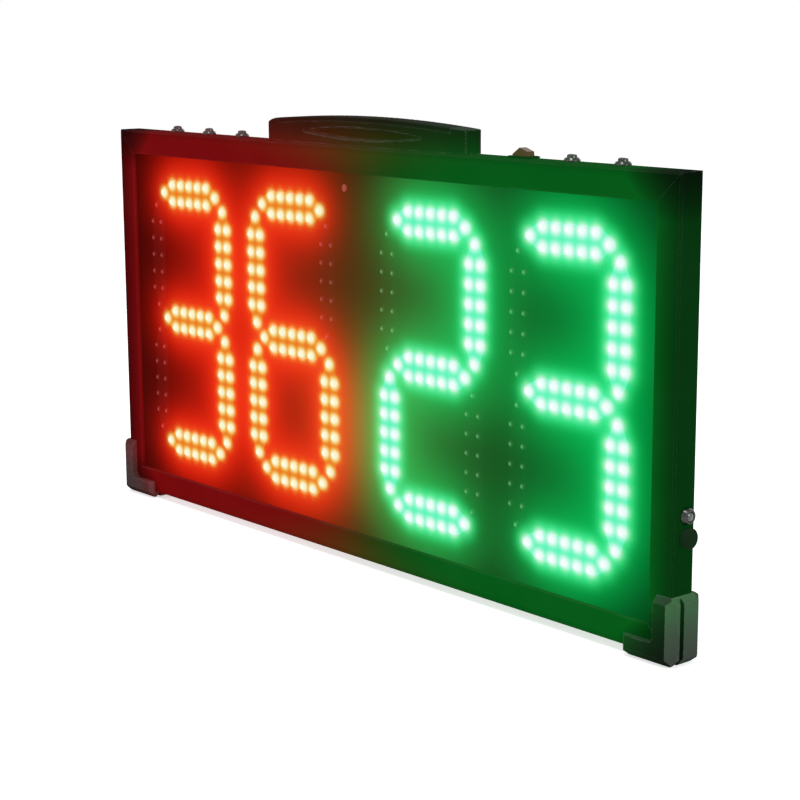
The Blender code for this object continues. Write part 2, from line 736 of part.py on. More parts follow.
def handle_body():
    """Moulded handle with a bed for the grip and a finger scoop on both faces."""
    half = HANDLE_LENGTH / 2
    bed = GRIP_LENGTH / 2
    crown = [(-half, arch(half, 0)), (-bed, arch(bed, 0))]
    crown += arch_points(bed, GRIP_THICK + FIT, ARCH_STEPS)
    crown += [(bed, arch(bed, 0)), (half, arch(half, 0))]
    outline = [(half, 0), (-half, 0)] + crown
    bm = bmesh.new()
    add_prism(bm, shift_up(outline), -HANDLE_DEPTH / 2, HANDLE_DEPTH / 2)

    def upright_end(a, b):
        at_end = abs(abs(a.x - TOP_SHIFT) - half) < FIT and abs(a.x - b.x) < FIT / 10
        return at_end and abs(a.y - b.y) < FIT / 10

    bevel_edges(bm, upright_end, HANDLE_CORNER, 2)
    body = piece("handle_body", finished(bm, "handle_body"), "handle_plastic")
    face = HANDLE_DEPTH / 2
    lens = shift_up(scoop_outline())
    for name, near, far in (
        ("front_scoop", -face - CUT_OVER, -face + SCOOP_DEPTH),
        ("back_scoop", face - SCOOP_DEPTH, face + CUT_OVER),
    ):
        cut(body, cutter(name, prism_mesh(name, lens, near, far)))
    bores = [
        (
            (x, depth(INSIDE_LINE_DEPTH), FRAME_HIGH - CUT_OVER),
            (x, depth(INSIDE_LINE_DEPTH), FRAME_HIGH + HANDLE_SCREW_REACH + CUT_OVER),
            HANDLE_SCREW_RADIUS + FIT,
            SCREW_SIDES,
        )
        for x in handle_screw_places()
    ]
    cut(body, cutter("handle_bores", rods_mesh("handle_bores", bores)))


def scoop_outline():
    """A lens between two shallow arcs, as (x, height) points above the rail."""
    half = SCOOP_LENGTH / 2
    spots = [half * (2 * i / ARCH_STEPS - 1) for i in range(ARCH_STEPS + 1)]
    low = [(x, SCOOP_LOW + SCOOP_TAPER * (x / half) ** 2) for x in spots]
    high = [(x, SCOOP_HIGH - SCOOP_TAPER * (x / half) ** 2) for x in reversed(spots)]
    return low + high


def handle_grip():
    """Soft strip let into the top of the handle, flush with its end blocks."""
    half = GRIP_LENGTH / 2 - FIT
    top = arch_points(half, 0, ARCH_STEPS)
    low = [(x, z - GRIP_THICK) for x, z in reversed(top)]
    bm = bmesh.new()
    add_prism(bm, shift_up(top + low), -HANDLE_DEPTH / 2, HANDLE_DEPTH / 2)

    def long_top_edge(a, b):
        same_side = abs(a.y - b.y) < FIT / 10 and abs(a.x - b.x) > FIT
        crown_a = FRAME_HIGH + FIT + arch(a.x - TOP_SHIFT, 0)
        crown_b = FRAME_HIGH + FIT + arch(b.x - TOP_SHIFT, 0)
        return same_side and abs(a.z - crown_a) < FIT / 10 and abs(b.z - crown_b) < FIT / 10

    bevel_edges(bm, long_top_edge, GRIP_BEVEL)
    piece("handle_grip", finished(bm, "handle_grip"), "grip_rubber")


def handle_screw_places():
    return (TOP_SHIFT - HANDLE_SCREW_SPREAD, TOP_SHIFT + HANDLE_SCREW_SPREAD)


def pan_screw(name, place, turn, head_radius, head, radius, length):
    """A pan-head screw whose head sits below z = 0 and whose shank points up."""
    profile = [
        (0, length),
        (radius, length - radius / 2),
        (radius, 0),
        (head_radius, 0),
        (head_radius, -head * 0.6),
        (head_radius * 0.7, -head),
        (0, -head),
    ]
    turned(name, profile, "screw_steel", place, SCREW_SIDES, turn)


def handle_screws():
    z = FRAME_HIGH - WALL - FIT
    reach = WALL + FIT + HANDLE_SCREW_REACH
    for name, x in zip(("handle_screw_left", "handle_screw_right"), handle_screw_places()):
        pan_screw(
            name,
            (x, depth(INSIDE_LINE_DEPTH), z),
            (0, 0, 0),
            HANDLE_SCREW_HEAD_RADIUS,
            HANDLE_SCREW_HEAD,
            HANDLE_SCREW_RADIUS,
            reach,
        )


# Switches on the top rail


def button_places():
    """The five push buttons as (name, x): three on the left and the outer two on the right."""
    left = [TOP_SHIFT - BUTTON_GROUP + step * BUTTON_PITCH for step in (-1, 0, 1)]
    right = [TOP_SHIFT + BUTTON_GROUP + step * BUTTON_PITCH for step in (0, 1)]
    return [(f"button_{i + 1}", x) for i, x in enumerate(left + right)]


def rocker_x():
    return TOP_SHIFT + BUTTON_GROUP - BUTTON_PITCH


def push_button(name, x):
    """A threaded body with a conical bezel, and the domed cap that slides in its bore."""
    bore = CAP_RADIUS + FIT
    body = [
        (bore, BEZEL_HEIGHT - BEZEL_RIM / 2),
        (bore + BEZEL_RIM / 2, BEZEL_HEIGHT),
        (BEZEL_TOP_RADIUS, BEZEL_HEIGHT),
        (BEZEL_RADIUS, FIT + BEZEL_RIM),
        (BEZEL_RADIUS, FIT),
        (BARREL_RADIUS, FIT),
        (BARREL_RADIUS, -BARREL_LENGTH),
        (0, -BARREL_LENGTH),
    ]
    bottom = -CAP_STEM - BUTTON_TRAVEL - SPRING_ROOM
    floor = [(0, bottom), (bore, bottom)]
    place = (x, depth(BUTTON_DEPTH), FRAME_HIGH)
    turned(name + "_body", floor + body, "button_chrome", place, ROUND_SIDES)
    top = BEZEL_HEIGHT + CAP_PROUD
    cap = [
        (0, top),
        (CAP_RADIUS * 0.6, top - CAP_DOME * 0.25),
        (CAP_RADIUS, top - CAP_DOME),
        (CAP_RADIUS, -CAP_STEM),
        (0, -CAP_STEM),
    ]
    turned(name + "_cap", cap, "button_chrome", place, CAP_SIDES)


def rocker_pivot():
    rise = FIT + ROCKER_FLANGE_THICK - ROCKER_PIVOT_RISE
    return Vector((rocker_x(), depth(BUTTON_DEPTH), FRAME_HIGH + rise))


def rocker_housing_half():
    """Half the length of the housing's body, which clears the rocker's swing."""
    return ROCKER_HALF + ROCKER_SWING_ROOM + ROCKER_WALL


def rocker_switch():
    """A snap-in housing with a well, and the ridged rocker that tips in it on two stub pins."""
    centre = rocker_pivot()
    x, y, top = centre.x, centre.y, FRAME_HIGH
    body_half = rocker_housing_half()
    body_depth = ROCKER_DEPTH / 2 + FIT + ROCKER_WALL
    flange = bmesh.new()
    add_box(
        flange,
        (x - ROCKER_FLANGE_LENGTH / 2, y - ROCKER_FLANGE_DEPTH / 2, top + FIT),
        (x + ROCKER_FLANGE_LENGTH / 2, y + ROCKER_FLANGE_DEPTH / 2, top + FIT + ROCKER_FLANGE_THICK),
    )
    crest = top + FIT + ROCKER_FLANGE_THICK
    bevel_edges(flange, lambda a, b: abs(a.z - crest) < FIT / 10 and abs(b.z - crest) < FIT / 10, FIT * 2)
    housing = piece("rocker_housing", finished(flange, "rocker_housing"), "switch_plastic")
    trunk = box_mesh(
        "rocker_trunk",
        (x - body_half, y - body_depth, top - ROCKER_BODY_DEPTH),
        (x + body_half, y + body_depth, top + FIT + ROCKER_FLANGE_THICK / 2),
    )
    well_half = body_half - ROCKER_WALL
    well_depth = body_depth - ROCKER_WALL
    well = box_mesh(
        "rocker_well",
        (x - well_half, y - well_depth, centre.z - ROCKER_WELL),
        (x + well_half, y + well_depth, crest + CUT_OVER),
    )
    pin_reach = well_depth + ROCKER_WALL + CUT_OVER
    pin_hole = rods_mesh(
        "rocker_pin_hole",
        [
            (
                (x, y - pin_reach, centre.z),
                (x, y + pin_reach, centre.z),
                ROCKER_PIN_RADIUS + FIT,
                CAP_SIDES,
            )
        ],
    )
    join(housing, cutter("rocker_trunk", trunk))
    cut(housing, cutter("rocker_well", well), cutter("rocker_pin_hole", pin_hole))
    roof = [
        (-ROCKER_HALF, 0),
        (-ROCKER_HALF, ROCKER_SHOULDER),
        (0, ROCKER_RIDGE),
        (ROCKER_HALF, ROCKER_SHOULDER),
        (ROCKER_HALF, 0),
        (ROCKER_KEEL_HALF, -ROCKER_KEEL),
        (-ROCKER_KEEL_HALF, -ROCKER_KEEL),
    ]
    lever = prism_mesh("rocker", roof, -ROCKER_DEPTH / 2, ROCKER_DEPTH / 2)
    rocker = piece("rocker", lever, "rocker_orange", centre)
    rocker.rotation_euler = (0, math.radians(-ROCKER_TILT), 0)
    reach = ROCKER_DEPTH / 2 + ROCKER_PIN_LENGTH
    pins = rods_mesh(
        "rocker_pins", [((0, -reach, 0), (0, reach, 0), ROCKER_PIN_RADIUS, CAP_SIDES)]
    )
    axle = cutter("rocker_pins", pins, centre)
    axle.rotation_euler = rocker.rotation_euler
    join(rocker, axle)


def top_rail_cuts(rail):
    """Round holes for the buttons and handle screws, and the rocker's slot."""
    top = FRAME_HIGH
    holes = [
        (
            (x, depth(BUTTON_DEPTH), top - LIP_WIDTH),
            (x, depth(BUTTON_DEPTH), top + CUT_OVER),
            BARREL_RADIUS + FIT,
            ROUND_SIDES,
        )
        for name, x in button_places()
    ]
    holes += [
        (
            (x, depth(INSIDE_LINE_DEPTH), top - WALL - CUT_OVER),
            (x, depth(INSIDE_LINE_DEPTH), top + CUT_OVER),
            HANDLE_SCREW_RADIUS + FIT,
            SCREW_SIDES,
        )
        for x in handle_screw_places()
    ]
    cut(rail, cutter("top_holes", rods_mesh("top_holes", holes)))
    half = rocker_housing_half() + FIT
    wide = ROCKER_DEPTH / 2 + FIT + ROCKER_WALL + FIT
    y = depth(BUTTON_DEPTH)
    slot = box_mesh(
        "rocker_slot",
        (rocker_x() - half, y - wide, top - WALL - CUT_OVER),
        (rocker_x() + half, y + wide, top + CUT_OVER),
    )
    cut(rail, cutter("rocker_slot", slot))


# Right side


def side_place(below):
    """A place on the right rail's outer face, for a piece turned to point along +X."""
    return (HALF_WIDTH, depth(SIDE_LINE_DEPTH), MIDDLE_Z - below)


def charge_indicator():
    facing = (0, math.pi / 2, 0)
    place = side_place(INDICATOR_BELOW_MIDDLE)
    seat = LENS_RADIUS + FIT
    profile = [
        (0, INDICATOR_PROUD - LENS_SEAT),
        (seat, INDICATOR_PROUD - LENS_SEAT),
        (seat, INDICATOR_PROUD - BEZEL_RIM / 2),
        (seat + BEZEL_RIM / 2, INDICATOR_PROUD),
        (INDICATOR_RIM_RADIUS, INDICATOR_PROUD),
        (INDICATOR_RADIUS, FIT + BEZEL_RIM),
        (INDICATOR_RADIUS, FIT),
        (INDICATOR_BARREL, FIT),
        (INDICATOR_BARREL, -INDICATOR_LENGTH),
        (0, -INDICATOR_LENGTH),
    ]
    turned("indicator_bezel", profile, "button_chrome", place, ROUND_SIDES, facing)
    low = INDICATOR_PROUD - LENS_SEAT + FIT
    dome = [
        (0, INDICATOR_PROUD + FIT * 2),
        (LENS_RADIUS * 0.6, INDICATOR_PROUD + FIT),
        (LENS_RADIUS, INDICATOR_PROUD - BEZEL_RIM),
        (LENS_RADIUS, low),
        (0, low),
    ]
    turned("indicator_lens", dome, "indicator_lens", place, CAP_SIDES, facing)


def charge_socket():
    """The socket's barrel with its centre pin, and the rubber cap that plugs into it."""
    facing = (0, math.pi / 2, 0)
    place = side_place(SOCKET_BELOW_MIDDLE)
    face = FIT + SOCKET_FLANGE_THICK
    floor = face - SOCKET_BORE_DEPTH
    profile = [
        (0, face - SOCKET_FLANGE_THICK),
        (SOCKET_PIN_RADIUS, face - SOCKET_FLANGE_THICK),
        (SOCKET_PIN_RADIUS, floor),
        (SOCKET_BORE, floor),
        (SOCKET_BORE, face),
        (SOCKET_FLANGE_RADIUS, face),
        (SOCKET_FLANGE_RADIUS, FIT),
        (SOCKET_BARREL, FIT),
        (SOCKET_BARREL, -SOCKET_LENGTH),
        (0, -SOCKET_LENGTH),
    ]
    turned("charge_socket", profile, "switch_plastic", place, ROUND_SIDES, facing)
    low = face + FIT
    high = low + DUST_CAP_THICK
    plug = SOCKET_BORE - FIT
    bottom = face - DUST_CAP_PLUG
    cap = [
        (0, high),
        (DUST_CAP_RADIUS - DUST_CAP_ROUND, high),
        (DUST_CAP_RADIUS, high - DUST_CAP_ROUND),
        (DUST_CAP_RADIUS, low),
        (plug, low),
        (plug, bottom),
        (DUST_CAP_BORE, bottom),
        (DUST_CAP_BORE, low),
        (0, low),
    ]
    turned("dust_cap", cap, "cap_rubber", place, ROUND_SIDES, facing)


def right_rail_cuts(rail):
    holes = []
    for below, radius in (
        (INDICATOR_BELOW_MIDDLE, INDICATOR_BARREL + FIT),
        (SOCKET_BELOW_MIDDLE, SOCKET_BARREL + FIT),
    ):
        y, z = depth(SIDE_LINE_DEPTH), MIDDLE_Z - below
        low = (HALF_WIDTH - WALL - CUT_OVER, y, z)
        holes.append((low, (HALF_WIDTH + CUT_OVER, y, z), radius, ROUND_SIDES))
    cut(rail, cutter("side_holes", rods_mesh("side_holes", holes)))


# Corner guards


def guard_block():
    """The right guard's outer form: a block whose outer edges and arm ends are cut off."""
    right = HALF_WIDTH + GUARD_PROUD
    left = right - GUARD_LENGTH
    half = BOARD_DEPTH / 2 + GUARD_PROUD
    bm = bmesh.new()
    add_box(bm, (left, -half, 0), (right, half, GUARD_HEIGHT))
    for side in (-1, 1):
        clip(bm, (right - GUARD_CHAMFER, side * half, 0), (1, side, 0))
        clip(bm, (right, side * half, GUARD_CHAMFER), (0, side, -1))
        clip(bm, (right, side * half, GUARD_HEIGHT - GUARD_TOP_BEVEL), (0, side, 1))
        clip(bm, (left + GUARD_END_BEVEL, side * half, 0), (-1, side, 0))
    clip(bm, (right, 0, GUARD_CHAMFER), (1, 0, -1))
    clip(bm, (right - GUARD_TOP_BEVEL, 0, GUARD_HEIGHT), (1, 0, 1))
    clip(bm, (left + GUARD_END_BEVEL, 0, 0), (-1, 0, -1))
    return finished(bm, "corner_guard")


def guard_cutters():
    """The frame's corner, the space inside the L, the groove and the screw holes."""
    right = HALF_WIDTH + GUARD_PROUD
    left = right - GUARD_LENGTH
    half = BOARD_DEPTH / 2 + GUARD_PROUD
    inner = box_mesh(
        "guard_corner",
        (left - CUT_OVER, -BOARD_DEPTH / 2 - FIT, FRAME_LOW - FIT),
        (HALF_WIDTH + FIT, BOARD_DEPTH / 2 + FIT, GUARD_HEIGHT + CUT_OVER),
    )
    window = bmesh.new()
    notch = (right - GUARD_UPRIGHT_WIDTH, GUARD_FOOT_HEIGHT)
    add_box(
        window,
        (left - CUT_OVER, -half - CUT_OVER, notch[1]),
        (notch[0], half + CUT_OVER, GUARD_HEIGHT + CUT_OVER),
    )
    bevel_edges(
        window,
        lambda a, b: all(
            abs(p.x - notch[0]) < FIT / 10 and abs(p.z - notch[1]) < FIT / 10 for p in (a, b)
        ),
        GUARD_INNER_BEVEL,
        2,
    )
    near = depth(GUARD_GROOVE_START)
    far = near + GUARD_GROOVE_WIDTH
    side_groove = box_mesh(
        "guard_side_groove",
        (HALF_WIDTH + GUARD_WEB, near, -CUT_OVER),
        (right + CUT_OVER, far, GUARD_HEIGHT + CUT_OVER),
    )
    foot_groove = box_mesh(
        "guard_foot_groove",
        (left - CUT_OVER, near, -CUT_OVER),
        (right + CUT_OVER, far, FRAME_LOW - GUARD_WEB),
    )
    y = depth(GUARD_SCREW_DEPTH)
    bores = []
    for inset in GUARD_SCREW_PLACES:
        x = HALF_WIDTH - inset
        shank = GUARD_SCREW_RADIUS + FIT
        bores.append(((x, y, -CUT_OVER), (x, y, FRAME_LOW + CUT_OVER), shank, SCREW_SIDES))
    recesses = []
    for inset in GUARD_SCREW_PLACES:
        x = HALF_WIDTH - inset
        wide = GUARD_SCREW_HEAD_RADIUS + FIT
        recesses.append(((x, y, -CUT_OVER), (x, y, GUARD_SCREW_RECESS), wide, ROUND_SIDES))
    return [
        cutter("guard_corner", inner),
        cutter("guard_window", finished(window, "guard_window")),
        cutter("guard_side_groove", side_groove),
        cutter("guard_foot_groove", foot_groove),
        cutter("guard_bores", rods_mesh("guard_bores", bores)),
        cutter("guard_recesses", rods_mesh("guard_recesses", recesses)),
    ]


def mirrored(mesh, name):
    """A copy of a mesh mirrored in the board's middle plane, with its faces turned out again."""
    bm = bmesh.new()
    bm.from_mesh(mesh)
    bmesh.ops.scale(bm, vec=(-1, 1, 1), verts=bm.verts)
    bmesh.ops.reverse_faces(bm, faces=bm.faces)
    copy = bpy.data.meshes.new(name)
    bm.to_mesh(copy)
    bm.free()
    return copy


def corner_guards():
    blank = cutter("guard_blank", guard_block())
    cut(blank, *guard_cutters())
    right = made_mesh(blank, "guard_right")
    left = mirrored(right, "guard_left")
    for name, mesh in (("guard_right", right), ("guard_left", left)):
        mesh.materials.clear()
        piece(name, mesh, "guard_plastic")


def guard_screw_rods(side, low, high):
    """The guard screws' clearance holes on one side, from z = low to z = high."""
    y = depth(GUARD_SCREW_DEPTH)
    spots = [side * (HALF_WIDTH - inset) for inset in GUARD_SCREW_PLACES]
    wide = GUARD_SCREW_RADIUS + FIT
    return [((x, y, low), (x, y, high), wide, SCREW_SIDES) for x in spots]


def guard_screws():
    reach = FRAME_LOW - GUARD_SCREW_RECESS + WALL + KEY_THICK
    for label, side in (("left", -1), ("right", 1)):
        for i, inset in enumerate(GUARD_SCREW_PLACES):
            pan_screw(
                f"guard_screw_{label}_{i + 1}",
                (side * (HALF_WIDTH - inset), depth(GUARD_SCREW_DEPTH), GUARD_SCREW_RECESS - FIT),
                (0, 0, 0),
                GUARD_SCREW_HEAD_RADIUS,
                GUARD_SCREW_HEAD,
                GUARD_SCREW_RADIUS,
                reach,
            )


def frame():
    """The four rails and the keys in their corners, with the holes that fasteners pass."""
    top = frame_rail("frame_top", BOARD_WIDTH, HALF_HEIGHT, 0)
    right = frame_rail("frame_right", BOARD_HEIGHT, HALF_WIDTH, math.pi / 2)
    bottom = frame_rail("frame_bottom", BOARD_WIDTH, HALF_HEIGHT, math.pi)
    left = frame_rail("frame_left", BOARD_HEIGHT, HALF_WIDTH, -math.pi / 2)
    top_rail_cuts(top)
    right_rail_cuts(right)
    low = FRAME_LOW - CUT_OVER
    high = FRAME_LOW + WALL + KEY_THICK + CUT_OVER
    for label, side in (("left", -1), ("right", 1)):
        rods = guard_screw_rods(side, low, high)
        holes = cutter(f"guard_holes_{label}", rods_mesh(f"guard_holes_{label}", rods))
        cut(bottom, holes)
        corner_key(f"corner_key_top_{label}", side, 1)
        cut(corner_key(f"corner_key_bottom_{label}", side, -1), holes)
    screws = rods_mesh("ledge_holes", back_screw_rods())
    ledge_holes = cutter("ledge_holes", screws)
    for rail in (top, right, bottom, left):
        cut(rail, ledge_holes)


# Back panel and what is inside


def back_screw_places():
    """Three screws along the top and the bottom and one on each side, as (x, z)."""
    x_edge = HALF_WIDTH - BACK_SCREW_INSET
    z_edge = HALF_HEIGHT - BACK_SCREW_INSET
    rows = [
        (x * BACK_SCREW_SPREAD, MIDDLE_Z + up * z_edge) for up in (1, -1) for x in (-1, 0, 1)
    ]
    return rows + [(-x_edge, MIDDLE_Z), (x_edge, MIDDLE_Z)]


def back_screw_rods():
    near, far = depth(LEDGE_FRONT - CUT_OVER), depth(BOARD_DEPTH + CUT_OVER)
    wide = BACK_SCREW_RADIUS + FIT
    return [((x, near, z), (x, far, z), wide, SCREW_SIDES) for x, z in back_screw_places()]


def control_stud_places():
    """The control board's studs as (x, z)."""
    dx = CONTROL_WIDTH / 2 - STUD_INSET
    dz = CONTROL_HEIGHT / 2 - STUD_INSET
    return [(CONTROL_X + sx * dx, MIDDLE_Z + sz * dz) for sx in (-1, 1) for sz in (-1, 1)]


def back_panel():
    """The sheet that closes the back, with pressed studs for the control board."""
    half_w = HALF_WIDTH - WALL - PANEL_INSET
    half_h = HALF_HEIGHT - WALL - PANEL_INSET
    low = (-half_w, depth(PANEL_FRONT), MIDDLE_Z - half_h)
    high = (half_w, depth(PANEL_BACK), MIDDLE_Z + half_h)
    panel = piece("back_panel", box_mesh("back_panel", low, high), "panel_grey")
    studs = [
        (
            (x, depth(CONTROL_BACK + FIT), z),
            (x, depth(PANEL_BACK - BACK_THICK / 2), z),
            STUD_RADIUS,
            SCREW_SIDES,
        )
        for x, z in control_stud_places()
    ]
    join(panel, cutter("control_studs", rods_mesh("control_studs", studs)))
    cut(panel, cutter("panel_holes", rods_mesh("panel_holes", back_screw_rods())))


def back_screws():
    for i, (x, z) in enumerate(back_screw_places()):
        pan_screw(
            f"back_screw_{i + 1}",
            (x, depth(PANEL_BACK + FIT), z),
            (math.pi / 2, 0, 0),
            BACK_SCREW_HEAD_RADIUS,
            BACK_SCREW_HEAD,
            BACK_SCREW_RADIUS,
            BACK_SCREW_LENGTH,
        )


def control_board():
    """The board that drives the digits, with its processor and the plugs of the leads."""
    half_w, half_h = CONTROL_WIDTH / 2, CONTROL_HEIGHT / 2
    low = (CONTROL_X - half_w, depth(CONTROL_DEPTH), MIDDLE_Z - half_h)
    high = (CONTROL_X + half_w, depth(CONTROL_BACK), MIDDLE_Z + half_h)
    board = piece("control_board", box_mesh("control_board", low, high), "circuit_green")
    chip = CONTROL_CHIP / 2
    root = depth(CONTROL_BACK - CONTROL_THICK / 2)
    parts = [
        (
            (CONTROL_X - chip, root, MIDDLE_Z - chip),
            (CONTROL_X + chip, depth(CONTROL_BACK + CONTROL_CHIP_HEIGHT), MIDDLE_Z + chip),
        )
    ]
    for x, z, wide, high_size in plug_boxes():
        parts.append(
            (
                (x - wide / 2, root, z - high_size / 2),
                (x + wide / 2, depth(CONTROL_BACK + PLUG_HEIGHT), z + high_size / 2),
            )
        )
    join(board, cutter("control_parts", boxes_mesh("control_parts", parts)))


def plug_x(side):
    """The middle of a plug that stands at the left or right edge of the control board."""
    return CONTROL_X + side * (CONTROL_WIDTH / 2 - PLUG_WIDTH / 2 - FIT)


def plug_boxes():
    """The control board's plugs as (x, z, width, height)."""
    ribbons = [(plug_x(side), MIDDLE_Z, PLUG_WIDTH, PLUG_LENGTH) for side in (-1, 1)]
    top = MIDDLE_Z + CONTROL_HEIGHT / 2 - PLUG_WIDTH / 2 - FIT
    low = MIDDLE_Z - CONTROL_HEIGHT / 2 + PLUG_WIDTH / 2 + FIT
    return ribbons + [(CONTROL_X, top, PLUG_LENGTH, PLUG_WIDTH), (CONTROL_X, low, PLUG_LENGTH, PLUG_WIDTH)]


def battery():
    """Three flat cells in one sleeve, between the second and third digits."""
    half_w, half_h = BATTERY_WIDTH / 2, BATTERY_HEIGHT / 2
    back = PANEL_FRONT - FIT
    front = back - BATTERY_THICK
    bm = bmesh.new()
    add_box(
        bm,
        (-half_w, depth(front), MIDDLE_Z - half_h),
        (half_w, depth(back), MIDDLE_Z + half_h),
    )
    bevel_edges(bm, lambda a, b: abs(a.z - b.z) > half_h, BATTERY_GROOVE, 2)
    pack = piece("battery_pack", finished(bm, "battery_pack"), "battery_wrap")
    grooves = []
    for i in range(1, BATTERY_CELLS):
        z = MIDDLE_Z - half_h + BATTERY_HEIGHT * i / BATTERY_CELLS
        low = (-half_w - CUT_OVER, depth(front - CUT_OVER), z - BATTERY_GROOVE / 2)
        high = (half_w + CUT_OVER, depth(front + BATTERY_GROOVE), z + BATTERY_GROOVE / 2)
        grooves.append((low, high))
    cut(pack, cutter("battery_grooves", boxes_mesh("battery_grooves", grooves)))
    inner = half_w + FIT
    front_in = front - FIT
    front_out = front_in - CLAMP_THICK
    foot_front = back - CLAMP_THICK
    clamp_outline = [
        (-CLAMP_HALF - CLAMP_FOOT, back),
        (-CLAMP_HALF - CLAMP_FOOT, foot_front),
        (-CLAMP_HALF, foot_front),
        (-CLAMP_HALF, front_out),
        (CLAMP_HALF, front_out),
        (CLAMP_HALF, foot_front),
        (CLAMP_HALF + CLAMP_FOOT, foot_front),
        (CLAMP_HALF + CLAMP_FOOT, back),
        (inner, back),
        (inner, front_in),
        (-inner, front_in),
        (-inner, back),
    ]
    bm = bmesh.new()
    low = MIDDLE_Z - CLAMP_WIDTH / 2
    corners = [bm.verts.new((x, depth(back_from), low)) for x, back_from in clamp_outline]
    push_out(bm, corners, (0, 0, CLAMP_WIDTH))
    piece("battery_clamp", finished(bm, "battery_clamp"), "key_aluminium")


def flat_lead(name, outline, plug_x_place, plug_z):
    """A ribbon cut to an (x, z) outline, with a plug on its end that reaches a digit board."""
    near, far = depth(RIBBON_DEPTH), depth(RIBBON_DEPTH + RIBBON_THICK)
    strip = piece(name, prism_mesh(name, outline, near, far), "lead_grey")
    half = RIBBON_WIDTH / 2
    plug = box_mesh(
        name + "_plug",
        (plug_x_place - PLUG_WIDTH / 2, depth(BOARD_BACK_DEPTH + FIT), plug_z - half - FIT),
        (plug_x_place + PLUG_WIDTH / 2, depth(RIBBON_DEPTH + RIBBON_THICK / 2), plug_z + half + FIT),
    )
    join(strip, cutter(name + "_plug", plug))


def ribbons():
    """The left pair's ribbon passes under the battery; the right pair's runs straight across."""
    half = RIBBON_WIDTH / 2
    start = plug_x(-1) - PLUG_WIDTH / 2 - FIT
    end = -INNER_DIGIT + RIBBON_PLUG_SETOFF
    low = MIDDLE_Z - BATTERY_HEIGHT / 2 - RIBBON_PASS
    outline = [
        (start, MIDDLE_Z + half),
        (start - RIBBON_WIDTH, MIDDLE_Z + half),
        (start - RIBBON_WIDTH, low + half),
        (end + half, low + half),
        (end + half, MIDDLE_Z + half),
        (end - half, MIDDLE_Z + half),
        (end - half, low - half),
        (start, low - half),
    ]
    flat_lead("ribbon_left", outline, end, MIDDLE_Z)
    start = plug_x(1) + PLUG_WIDTH / 2 + FIT
    end = OUTER_DIGIT - RIBBON_PLUG_SETOFF
    outline = [
        (start, MIDDLE_Z - half),
        (end, MIDDLE_Z - half),
        (end, MIDDLE_Z + half),
        (start, MIDDLE_Z + half),
    ]
    flat_lead("ribbon_right", outline, end, MIDDLE_Z)


def softened(points):
    """The points of a path with each inner corner cut into two gentler ones."""
    path = [Vector(points[0])]
    for before, corner, after in zip(points, points[1:], points[2:]):
        before, corner, after = Vector(before), Vector(corner), Vector(after)
        path.append(corner + (before - corner).normalized() * LEAD_BEND)
        path.append(corner + (after - corner).normalized() * LEAD_BEND)
    return path + [Vector(points[-1])]


def round_lead(name, points):
    """A sleeved lead along a path with softened corners."""
    curve = bpy.data.curves.new(name, "CURVE")
    curve.dimensions = "3D"
    curve.bevel_depth = LEAD_RADIUS
    curve.bevel_resolution = 1
    curve.use_fill_caps = True
    path = softened(points)
    spline = curve.splines.new("POLY")
    spline.points.add(len(path) - 1)
    for spot, place in zip(spline.points, path):
        spot.co = (*place, 1)
    obj = bpy.data.objects.new(name, curve)
    curve.materials.append(material("lead_grey"))
    PARTS.objects.link(obj)


def round_leads():
    """Leads from the control board to the battery, the charge socket and its indicator."""
    y = depth(CONTROL_BACK + PLUG_HEIGHT / 2)
    high = MIDDLE_Z + CONTROL_HEIGHT / 2
    low = MIDDLE_Z - CONTROL_HEIGHT / 2
    battery_top = MIDDLE_Z + BATTERY_HEIGHT / 2
    battery_y = depth(PANEL_FRONT - FIT - BATTERY_THICK / 2)
    round_lead(
        "battery_lead",
        [
            (0, battery_y, battery_top + FIT),
            (0, battery_y, battery_top + LEAD_RISE + LEAD_BEND),
            (CONTROL_X, y, battery_top + LEAD_RISE + LEAD_BEND),
            (CONTROL_X, y, high),
        ],
    )
    side_y = depth(SIDE_LINE_DEPTH)
    for name, offset, below, length in (
        ("charge_lead", -1, SOCKET_BELOW_MIDDLE, SOCKET_LENGTH),
        ("indicator_lead", 1, INDICATOR_BELOW_MIDDLE, INDICATOR_LENGTH),
    ):
        x = CONTROL_X + offset * PLUG_LENGTH / 4
        end = HALF_WIDTH - length - FIT
        z = MIDDLE_Z - below
        corner = OUTER_DIGIT + SEGMENT_SIDE
        path = [(x, y, low), (x, y, z), (corner, y, z), (end - LEAD_RISE, side_y, z), (end, side_y, z)]
        round_lead(name, path)


def switch_loom():
    """A sleeve under the top rail with a branch up to each switch."""
    y = depth(BUTTON_DEPTH)
    z = FRAME_HIGH - LOOM_DROP
    spots = [x for name, x in button_places()]
    trunk = rods_mesh("switch_loom", [((spots[0], y, z), (spots[-1], y, z), LEAD_RADIUS, LOOM_SIDES)])
    loom = piece("switch_loom", trunk, "lead_grey")
    tops = [(x, FRAME_HIGH - BARREL_LENGTH - FIT) for x in spots[1:-1]]
    tops.append((rocker_x(), FRAME_HIGH - ROCKER_BODY_DEPTH - FIT))
    inset = LEAD_RADIUS
    tops.append((spots[0] + inset * 1.5, FRAME_HIGH - BARREL_LENGTH - FIT))
    tops.append((spots[-1] - inset * 1.5, FRAME_HIGH - BARREL_LENGTH - FIT))
    rods = [((x, y, z), (x, y, top), LEAD_RADIUS * 0.8, LOOM_SIDES) for x, top in tops]
    join(loom, cutter("loom_branches", rods_mesh("loom_branches", rods)))


frame()
mask_panel()
display()
receiver()
handle_body()
handle_grip()
handle_screws()
for button, place_x in button_places():
    push_button(button, place_x)
rocker_switch()
charge_indicator()
charge_socket()
corner_guards()
guard_screws()
back_panel()
back_screws()
control_board()
battery()
ribbons()
round_leads()
switch_loom()
